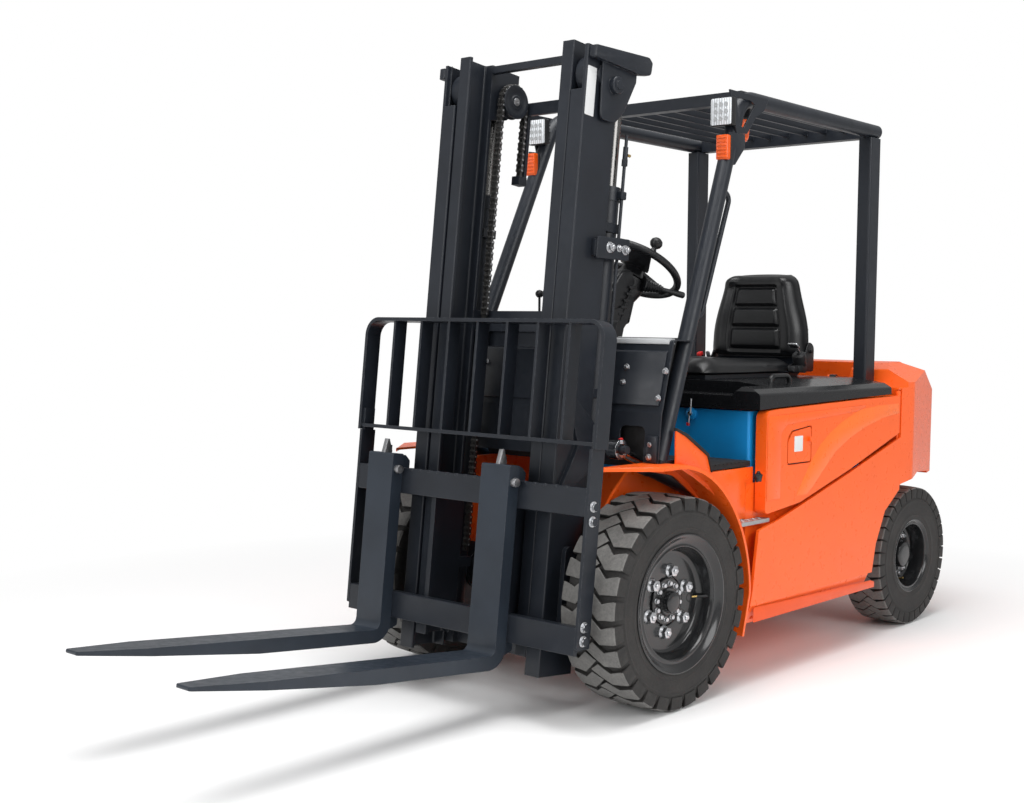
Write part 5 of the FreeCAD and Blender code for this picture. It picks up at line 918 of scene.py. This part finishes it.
PIPE_SIDE = 336
PIPE_DEEP = -142
BRACKET_HEAD = ((-345, 1700, 4), (-345, 1738, 4), (-84, 1768, 20), (-66, 1754, 10), (-70, 1712, 16),
                (-120, 1700, 6))
BRACKET_FALL = ((-294, 1706), (-125, 1706), (-125, 1675, 10), (-173, 1568, 24), (-213, 1523, 14),
                (-286, 1518, 24))
BRACKET_BOSS = ((0, 0), (0, 28), (18, 28), (21, 25), (21, 15), (26, 14), (27, 0))
CLAMP = ((-262, 1082, 6), (-262, 1152, 6), (-104, 1166, 6), (-104, 1096, 6))


def make_mast_details():
    """Bolts, latches and notch teeth of the carriage; pipes, blank plate and head brackets of the mast."""
    shape = bmesh.new()
    for side in (1, -1):
        for height in (303, 258, -62, -104):
            bolt(shape, (side * 539.5, -395, height), (side, 0, 0), 24, 17, 10, 0)
    piece("arm_bolts", shape, "zinc", "carriage_frame", mast)

    shape = bmesh.new()
    latch = [(-459, 400), (-430, 400), (-424, 410), (-440, 452, 3), (-447, 452, 2), (-456, 412, 6)]
    for middle in (183, -365):
        plate(shape, "YZ", latch, middle - 9, middle + 9, 1.2)
        lathe(shape, (middle + 68, -446, 352), SIDEWAYS, [(-6, 0), (-6, 13), (6, 15), (14, 13), (16, 0)], 20)
    piece("fork_latches", shape, "worn_steel", "carriage_frame", mast)

    shape = bmesh.new()
    for x in range(-480, 481, 44):
        block(shape, (x - 8, -421, 350), (x + 8, -409, 359.5), 1.5)
    piece("bar_notch_teeth", shape, "dark", "carriage_frame", mast)

    for label, side in SIDES:
        x = side * PIPE_SIDE
        y = PIPE_DEEP
        points = [(x, y, 1500), (x, y, 1400), (x, y, 1200), (x, y, 700), (x, y - 20, 300), (x, y - 40, 60)]
        wire(f"mast_pipe_{label}", points, 5.5, "dark", "outer_mast", mast)
        shape = bmesh.new()
        rod(shape, (x, y, 1400), UP, 10, 22, 6, 0)
        rod(shape, (x, y + 10, 1438), (0, 1, 0), 5, 14, 10, 1)
        rod(shape, (x, y, 1422), UP, 8.5, 40, 18, 0)
        for height in (1290, 760):
            block(shape, (x - 12, y - 14, height), (x + 12, y + 10, height + 26), 3, 0)
        piece(f"pipe_fittings_{label}", shape, "dark brass", "outer_mast", mast)

    shape = bmesh.new()
    plate(shape, "YZ", pad(-324, 1599, 21, 77, 4), 328, 329.2, 0.4)
    piece("mast_blank_plate", shape, "white", "outer_mast", mast)

    for label, side in SIDES:
        shape = bmesh.new()
        side_plate(shape, side, BRACKET_HEAD, 336, 360, 3)
        side_plate(shape, side, BRACKET_FALL, 337, 345, 2.5)
        lathe(shape, (side * 344, -232, 1638), (side, 0, 0), BRACKET_BOSS, 36)
        for y in (-344, -176):
            side_block(shape, side, 327, 338, (y, 1704), (y + 26, 1736))
        side_plate(shape, side, CLAMP, 346, 354, 2)
        side_block(shape, side, 328, 347, (-262, 1090), (-246, 1144), 3)
        for y, z, across in ((-200, 1125, 24), (-155, 1129, 16), (-124, 1128, 22)):
            spot = (side * 353, y, z)
            bolt(shape, spot, (side, 0, 0), across, across * 0.75, across * 0.5, 1, across * 0.3)
        piece(f"mast_bracket_{label}", shape, "dark zinc", "outer_mast", mast)


# front of the body
COWL_KNOTS = ((800, -40), (962, -24), (978, -18), (1150, 24), (1196, 36))
COWL_BOLTS = ((361, 1105), (355, 1056), (524, 1097), (511, 1010), (502, 862), (498, 820), (-293, 1104),
              (-180, 1092), (-361, 1105), (-355, 1056), (-511, 1010))
PANEL_LOW = 984
PANEL_HIGH = 1156


def cowl_face(z):
    """Depth of the cowl's front face at a height, from the line through its knots."""
    for (z0, y0), (z1, y1) in zip(COWL_KNOTS, COWL_KNOTS[1:]):
        if z <= z1:
            break
    return y0 + (y1 - y0) * (z - z0) / (z1 - z0)


def make_cowl_details():
    shape = bmesh.new()
    for x, z in COWL_BOLTS:
        bolt(shape, (x, cowl_face(z) - 8, z), (0, -1, -0.15), 15, 11.5, 8)
    lathe(shape, (381, -58, 836), AHEAD, [(0, 0), (0, 26), (5, 26), (6, 13), (16, 12), (17, 0)], 28)
    piece("cowl_bolts", shape, "zinc", "chassis")
    shape = bmesh.new()
    lathe(shape, (397, -62, 870), AHEAD, [(0, 0), (0, 8), (10, 7), (12, 0)], 20)
    piece("cowl_cap", shape, "red_button", "chassis")
    # painted reflection: the strip along the cowl's top is light grey to stand for the sky reflected in the
    # glossy plastic there
    shape = bmesh.new()
    plate(shape, "YZ", [(28, 1182, 3), (31, 1198, 7), (44, 1201, 3), (62, 1201, 2), (62, 1182)], -514, 514, 1)
    piece("cowl_top_painted_reflection", shape, "grey_strip", "chassis")
    shape = bmesh.new()
    y0 = cowl_face(PANEL_LOW)
    y1 = cowl_face(PANEL_HIGH)
    outline = [(y0 - 8, PANEL_LOW, 3), (y1 - 8, PANEL_HIGH, 3), (y1 + 3, PANEL_HIGH + 6), (y0 + 3, PANEL_LOW)]
    plate(shape, "YZ", outline, -506, 516, 2)
    for side in (1, -1):
        block(shape, (side * 508 - 22, -47, 802), (side * 508 + 18, -30, 888), 3)
        block(shape, (side * 410 - 64, -8, 800), (side * 410 + 64, -4, 934), 1, 1)
    piece("cowl_panel", shape, "dark black", "chassis")


WHEEL_BACK = 468
WHEEL_HIGH = 1452
WHEEL_RADIUS = 174
RIM_RADIUS = 14
WHEEL_LEAN = math.radians(32)
KNOB_ANGLE = math.radians(31)


def make_hand_wheel():
    """Round rim, flared hub cover with one broad and two narrow spokes, and a ball knob."""
    shape = bmesh.new()
    ring = [2 * math.pi * k / 24 for k in range(25)]
    ring = [(RIM_RADIUS * math.sin(a), WHEEL_RADIUS + RIM_RADIUS * math.cos(a)) for a in ring]
    lathe(shape, (0, 0, 0), UP, ring, 96, caps=False)
    hub = [(-48, 0), (-48, 58), (-44, 60), (-30, 50), (-6, 42), (8, 38), (13, 33), (15, 0)]
    lathe(shape, (0, 0, 0), UP, hub, 48)
    for angle, near, far in ((-44, 56, 40), (76, 24, 17), (196, 24, 17)):
        turn = Matrix.Rotation(math.radians(angle), 4, "Z")
        plate(shape, "XY", [(24, -near, 8), (166, -far), (166, far), (24, near, 8)], -8, 6, 3, 0, turn)
    at = (WHEEL_RADIUS * math.cos(KNOB_ANGLE), -WHEEL_RADIUS * math.sin(KNOB_ANGLE), 0)
    knob = [(6, 0), (6, 14), (16, 11), (24, 8), (28, 13), (35, 20), (45, 23.5), (55, 21), (63, 13), (66, 5),
            (66.5, 0)]
    lathe(shape, at, UP, knob, 36)
    bmesh.ops.remove_doubles(shape, verts=shape.verts, dist=0.01)
    lean = Matrix.Translation((0, WHEEL_BACK, WHEEL_HIGH)) @ Matrix.Rotation(-WHEEL_LEAN, 4, "X")
    bmesh.ops.transform(shape, matrix=lean, verts=shape.verts)
    piece("steering_wheel_form", shape, "plastic", "hand_wheel", swap=("steering_wheel",))


LEVERS = 4
LEVER_BACK = 176
LEVER_BOOT = ((0, 0), (0, 14.5), (6, 15), (12, 11), (18, 12.5), (24, 9), (30, 10), (36, 7), (44, 6), (44, 0))
LEVER_BALL = ((-15, 0), (-12, 9), (-5, 14.1), (0, 15), (5, 14.1), (12, 9), (15, 0))


def make_controls():
    """Hydraulic levers in a row beside the column, and the two pedals."""
    shape = bmesh.new()
    for index in range(LEVERS):
        x = -106 - 31 * index
        lathe(shape, (x, LEVER_BACK, 1200), UP, LEVER_BOOT, 20)
        rod(shape, (x, LEVER_BACK, 1240), UP, 4.5, 104, 12)
        lathe(shape, (x, LEVER_BACK, 1352), UP, LEVER_BALL, 24)
    for x, wide in ((-70, 90), (-215, 70)):
        plate(shape, "YZ", [(92.5, 812), (124, 796), (178, 872, 6), (166, 884, 6)], x, x + wide, 2)
        middle = x + wide / 2
        plate(shape, "YZ", [(112, 806), (122, 800), (96, 880), (86, 880)], middle - 8, middle + 8, 1)
    piece("pedals_and_levers", shape, "plastic", "chassis", swap=("controls",))


def make_column():
    """Moulding round the steering column, its collar and ribs, boot and stalk of the direction lever."""
    shape = bmesh.new()
    outline = [(150, 1196), (262, 1204), (330, 1300), (402, 1408, 20), (380, 1446, 14), (330, 1440, 20),
               (236, 1350, 60)]
    for low, high, inset in ((-62, 62, 0), (62, 74, 8), (-74, -62, 8)):
        smaller = [(y + (inset if y < 300 else -inset), z - (inset if z > 1300 else -inset), *r)
                   for y, z, *r in outline]
        plate(shape, "YZ", smaller, low, high, 5)
    axis = Vector((0, 0.53, 0.848))
    collar = [(-130, 0), (-130, 48), (-90, 62), (-58, 66), (-54, 62), (-54, 0)]
    lathe(shape, (0, WHEEL_BACK, WHEEL_HIGH), axis, collar, 48)
    boot = (70, 440, 1394)
    direction = Vector((0.44, 0.87, -0.22)).normalized()
    rings = [(0, 0), (0, 29)]
    for k in range(7):
        radius = 29 - 2.2 * k
        rings += [(4 + 11 * k, radius), (9 + 11 * k, radius - 5)]
    rings += [(80, 12), (80, 0)]
    lathe(shape, boot, direction, rings, 32)
    stalk = [(76, 0), (76, 8), (110, 9), (146, 12), (168, 12), (172, 9), (173, 0)]
    lathe(shape, boot, direction, stalk, 24)
    for k in range(5):
        z = 1380 - 24 * k
        block(shape, (74, 352 - 15 * k, z - 6), (82, 384 - 15 * k, z + 5), 2)
    piece("column_moulding", shape, "plastic", "chassis")
    shape = bmesh.new()
    plate(shape, "YZ", [(276, 1226), (282, 1226), (372, 1380), (366, 1384)], 75, 80, 1)
    piece("column_edge", shape, "plastic", "chassis")


# outer face of the doors and skirts, and the forms pressed into them
BODY_HALF = 610
SWEEP = ((662, 640), (721, 711), (765, 762), (820, 814), (890, 855), (975, 892), (1100, 932), (1250, 944),
         (1420, 946), (1424, 907), (1290, 893), (1150, 864), (1035, 828), (929, 781), (825, 703), (775, 664),
         (735, 640))
BORDER = ((472, 640), (472, 934, 6), (1150, 950), (1150, 944), (1088, 928), (593, 900, 24), (556, 872, 24),
          (556, 640))
SKIRT_BAND = ((404, 220), (404, 273), (1224, 251), (1256, 242), (1256, 220))


def make_side_details():
    """Blank plate of the charge flap, star knob, pressed bands of the covers and skirts, battery latch."""
    shape = bmesh.new()
    plate(shape, "YZ", pad(672, 828, 28, 28, 4), BODY_HALF, BODY_HALF + 1.4, 0.4)
    piece("charge_plate", shape, "white", "charge_flap")
    shape = bmesh.new()
    star = []
    for k in range(10):
        angle = math.pi * k / 5
        reach = 25 if k % 2 == 0 else 13
        star.append((411 + reach * math.sin(angle), 729 + reach * math.cos(angle), 5))
    plate(shape, "YZ", star, BODY_HALF, BODY_HALF + 11.5, 3)
    rod(shape, (600, 411, 729), SIDEWAYS, 9, 12, 16)
    piece("star_knob", shape, "plastic", "chassis")
    for name, side in SIDES:
        shape = bmesh.new()
        side_plate(shape, side, BORDER, BODY_HALF - 1, BODY_HALF + 2, 1.8)
        # the sweep band is a lighter orange than the cover around it
        side_plate(shape, side, SWEEP, BODY_HALF - 1, BODY_HALF + 0.9, 0.6, 1)
        piece(f"door_relief_{name}", shape, "orange orange_band", f"side_cover_{name}")
        shape = bmesh.new()
        # the skirt band is a darker orange than the side above it
        side_plate(shape, side, SKIRT_BAND, BODY_HALF - 1, BODY_HALF + 1.2, 0.8)
        piece(f"skirt_band_{name}", shape, "orange_low", "chassis")
    shape = bmesh.new()
    lathe(shape, (296, 451, 931), AHEAD, [(0, 0), (0, 23), (9, 23), (11, 20), (11, 0)], 32)
    rod(shape, (296, 442, 931), AHEAD, 9, 7, 20, 1)
    rod(shape, (300, 436, 931), (0.05, 0, 1), 3, 54, 12, 1)
    block(shape, (282, 434, 886), (294, 442, 898), 2, 2)
    rod(shape, (292, 437, 896), (0.1, 0, 1), 2.5, 34, 12, 1)
    piece("battery_latch", shape, "blue zinc red_button", "chassis")


def make_step_details():
    """Chequer bars on the steps and ribs on the mat in the foot well."""
    shape = bmesh.new()
    for side in (1, -1):
        for row in range(9):
            for column in range(5):
                slant = math.radians(45 if (row + column) % 2 else -45)
                spot = (side * (512 + column * 18), 350 + row * 17, 575.6)
                turn = Matrix.Translation(spot) @ Matrix.Rotation(slant, 4, "Z")
                block(shape, (-6, -1.8, -1), (6, 1.8, 1.2), 0.7, 0, turn)
    piece("step_chequers", shape, "zinc", "chassis")
    shape = bmesh.new()
    for side in (1, -1):
        for k in range(9):
            side_block(shape, side, 400, 560, (214 + 23 * k, 775.5), (228 + 23 * k, 780))
    piece("mat_ribs", shape, "mat", "chassis")


ARCH = ((-20, 800), (190, 800), (385, 590), (390, 330))
FENDER_IN = 470
FENDER_OUT = 610
FENDER_TIP = -264
FENDER_CORNER = -112
FENDER_TOP = 800
# across the sheet from its inner edge and back under it: distance from the outer edge, depth
FENDER_FOLD = ((0, 0), (4, 0), (1, -1.5), (0, -5), (0, -13), (4, -13), (5, -8), (0, -8))
LINER = ((-120, 790), (20, 790), (410, 762), (416, 535), (335, 515), (255, 652, 120), (110, 748, 120),
         (-20, 770, 60))
CHEEK = ((22, 790), (22, 912, 4), (75, 886, 10), (190, 816, 14), (206, 776, 8), (212, 757, 6), (463, 757, 4),
         (463, 578), (338, 578), (300, 640), (120, 745))
MAT = ((212, 760), (448, 760), (448, 779, 3), (330, 783, 10), (212, 779, 3))
CHEEK_TRIM = ((20, 905), (70, 884), (190, 812, 14), (204, 776), (212, 756), (218, 756), (212, 776),
              (196, 820, 14), (76, 893), (20, 914))


def arch_point(t):
    """Point and outward direction on the fender's arch, t from 0 at the top to 1 at its foot."""
    a, b, c, d = (Vector(corner) for corner in ARCH)
    u = 1 - t
    spot = a * u ** 3 + b * (3 * u * u * t) + c * (3 * u * t * t) + d * t ** 3
    slope = ((b - a) * u * u + (c - b) * (2 * u * t) + (d - c) * t * t).normalized()
    return spot, Vector((-slope.y, slope.x))


def make_fender(name, side):
    """Shelf and arch over a front wheel as one folded sheet with a turned lip, liner, cheek and mat."""
    shape = bmesh.new()
    shelf = [FENDER_TIP + (FENDER_CORNER - FENDER_TIP) * k / 6 for k in range(7)] + [-66]
    line = [(Vector((y, FENDER_TOP)), Vector((0, 1))) for y in shelf]
    line += [arch_point(k / 26) for k in range(27)]
    line += [(Vector((372, 254)), Vector((0.97, -0.24))), (Vector((353, 180)), Vector((0.97, -0.24)))]
    part = bmesh.new()
    rows = []
    for spot, out in line:
        t = min(1, max(0, (spot.x - FENDER_TIP) / (FENDER_CORNER - FENDER_TIP))) if spot.y > 790 else 1
        wide = FENDER_IN + (FENDER_OUT - FENDER_IN) * max(t, 0.02)
        row = []
        for index, (back, deep) in enumerate(FENDER_FOLD):
            x = FENDER_IN if index in (0, len(FENDER_FOLD) - 1) else wide - back
            point = spot + out * deep
            row.append(part.verts.new((side * x, point.x, point.y)))
        rows.append(row)
    count = len(rows[0])
    for a, b in zip(rows, rows[1:]):
        for k in range(count):
            n = (k + 1) % count
            part.faces.new((a[k], a[n], b[n], b[k]))
    part.faces.new(rows[0])
    part.faces.new(rows[-1])
    merge(shape, part)
    side_plate(shape, side, LINER, FENDER_IN, FENDER_IN + 7, 0)
    side_plate(shape, side, CHEEK, 549, 558, 2)
    piece(f"fender_{name}_form", shape, "orange", "chassis", swap=(f"fender_{name}",))
    shape = bmesh.new()
    side_plate(shape, side, MAT, 380, 556, 2)
    side_plate(shape, side, CHEEK_TRIM, 545.5, 562, 1)
    piece(f"foot_mat_{name}", shape, "mat", "chassis")


def leg_point(side, ratio):
    """Point on the guard's front leg, from its foot to its knee."""
    foot = Vector((side * 506, -5, 802))
    knee = Vector((side * 438, 512, 2040))
    return foot + (knee - foot) * ratio


LED_ROWS = 3
LED = ((-1, 0), (-1, 8), (1.6, 8), (1.8, 6.6), (1.0, 3), (0.9, 0))
HEADLAMP_AT = 0.93
TURN_LAMP_AT = 0.845
BEACON_AT = (348, 640, 2040)
BEACON_BASE = ((10, 0), (10, 40), (44, 40), (48, 42), (54, 42), (56, 38), (56, 0))
BEACON_GLASS = ((50, 0), (50, 38), (56, 39), (60, 38), (64, 39), (72, 38), (76, 38.5), (96, 36.5), (118, 34),
                (128, 28), (134, 16), (136, 0))


def make_lamps():
    """Headlamps with a finned housing, face and small reflectors; turn lamps on dark backs; beacon."""
    shape = bmesh.new()
    turn = bmesh.new()
    for side in (1, -1):
        at = leg_point(side, HEADLAMP_AT)
        x = at.x - side * 6
        y = at.y - 74
        z = at.z + 24
        plate(shape, "XZ", pad(x, z, 46, 48, 8), y + 2, y + 26, 2)
        for row in range(7):
            block(shape, (x - 38, y + 24, z - 42 + row * 13), (x + 38, y + 40, z - 37 + row * 13), 1)
        plate(shape, "XZ", pad(x, z, 43, 45, 6), y, y + 3, 1, 1)
        for row in range(LED_ROWS):
            for column in range(LED_ROWS):
                spot = (x + 22 * (column - 1), y, z + 24 * (row - 1))
                lathe(shape, spot, AHEAD, LED, 18, 2)
        block(shape, (x - 30, y + 38, z - 8), (x + 30, y + 44, z + 8), 1.5)
        lathe(shape, (x, y + 40, z), (0, 1, 0), [(0, 9), (22, 9), (22, 0)], 14)
        at = leg_point(side, TURN_LAMP_AT)
        x = at.x + side * 5
        y = at.y - 46
        z = at.z + 6
        plate(turn, "XZ", pad(x, z, 24, 42, 6), y, y + 22, 3)
        for row in range(6):
            block(turn, (x - 20, y - 2, z - 36 + row * 13), (x + 20, y + 2, z - 28 + row * 13), 1.6)
        plate(turn, "XZ", pad(x, z, 27, 45, 6), y + 20, y + 28, 1.5, 1)
        block(turn, (x - 12, y + 26, z - 10), (x + 12, at.y - 14, z + 10), 2, 1)
    piece("headlamp_forms", shape, "plastic lamp_glass grey_strip", "chassis",
          swap=("headlamps",))
    lathe(turn, BEACON_AT, (0, 0, -1), BEACON_BASE, 40, 1)
    lathe(turn, BEACON_AT, (0, 0, -1), BEACON_GLASS, 40)
    block(turn, (334, 600, 2028), (362, 656, 2032), 1, 1)
    piece("amber_lamp_forms", turn, "amber plastic", "chassis", swap=("amber_lamps",))


GUSSET = ((399, 2048), (636, 2046), (609, 2004), (559, 1976), (506, 1911), (443, 1907))
WINDOW = ((439, 2027), (460, 1933), (485, 1929), (552, 2016), (527, 2027))
LAMP_BRACKET = ((402, 1905), (494, 1909), (495, 1862, 6), (436, 1797, 8), (410, 1800, 4))


def make_gussets():
    """Corner plates of the roof with a window, and the turn lamps' brackets, along the guard's sides."""
    shape = bmesh.new()
    for side in (1, -1):
        side_plate(shape, side, [*GUSSET, GUSSET[0], *WINDOW, WINDOW[0]], 470, 476, 0)
        side_plate(shape, side, LAMP_BRACKET, 470, 476, 1)
    piece("roof_gussets", shape, "dark", "chassis")


PULLEY_AT = (-153, 1654)
PULLEY_RINGS = ((-17, 0), (-17, 22), (-15, 24), (-15, 40), (-17, 43), (-17, 57), (-15.5, 58), (-13, 58),
                (-13, 50), (13, 50), (13, 58), (15.5, 58), (17, 57), (17, 43), (15, 40), (15, 24), (17, 22),
                (17, 0))
BEND_LINKS = 11
BEND_PLATE = ((-62.3, -13, 5), (-50.3, -13, 5), (-52.5, 0, 3), (-50.3, 13, 5), (-62.3, 13, 5), (-60, 0, 3))


def make_pulleys():
    """Chain wheels with a stepped face and pin, and the chains' plates round their tops."""
    shape = bmesh.new()
    for side in (1, -1):
        at = (side * CHAIN_SIDE, *PULLEY_AT)
        lathe(shape, at, SIDEWAYS, PULLEY_RINGS, 64)
        cap = [(16, 0), (16, 14), (19, 13), (20, 9), (20, 4), (18.5, 3), (18.5, 0)]
        for end in (1, -1):
            lathe(shape, at, (end, 0, 0), cap, 24, 1)
        for index in range(BEND_LINKS):
            angle = math.pi * (index + 0.5) / BEND_LINKS
            turn = Matrix.Translation(at) @ Matrix.Rotation(-angle, 4, "X")
            link_row(shape, index, BEND_PLATE, 0, 2, turn)
            pin = turn @ Vector((-PIN_HALF, -56.3, 9))
            rod(shape, pin, SIDEWAYS, PIN_RADIUS, 2 * PIN_HALF, 10, 1)
    piece("pulley_wheels", shape, "dark worn_steel chain", "inner_mast", mast,
          swap=("pulleys",))


bpy.context.scene.view_settings.view_transform = "Standard"
make_camera()
make_world()
make_floor()
make_lights()
dress_nodes()
for wheel_name, wheel_side in SIDES:
    front_wheel(wheel_name, wheel_side)
    rear_wheel(wheel_name, wheel_side)
make_seat()
chain_strand("chain_front_links", -209.3, 88, 1654, "chain_front")
make_mast_details()
make_cowl_details()
make_hand_wheel()
make_controls()
make_column()
make_side_details()
make_step_details()
make_lamps()
make_gussets()
make_pulleys()
chain_strand("chain_back_links", -96.7, 1408, 1654, "chain_back")
for fender_name, fender_side in SIDES:
    make_fender(fender_name, fender_side)
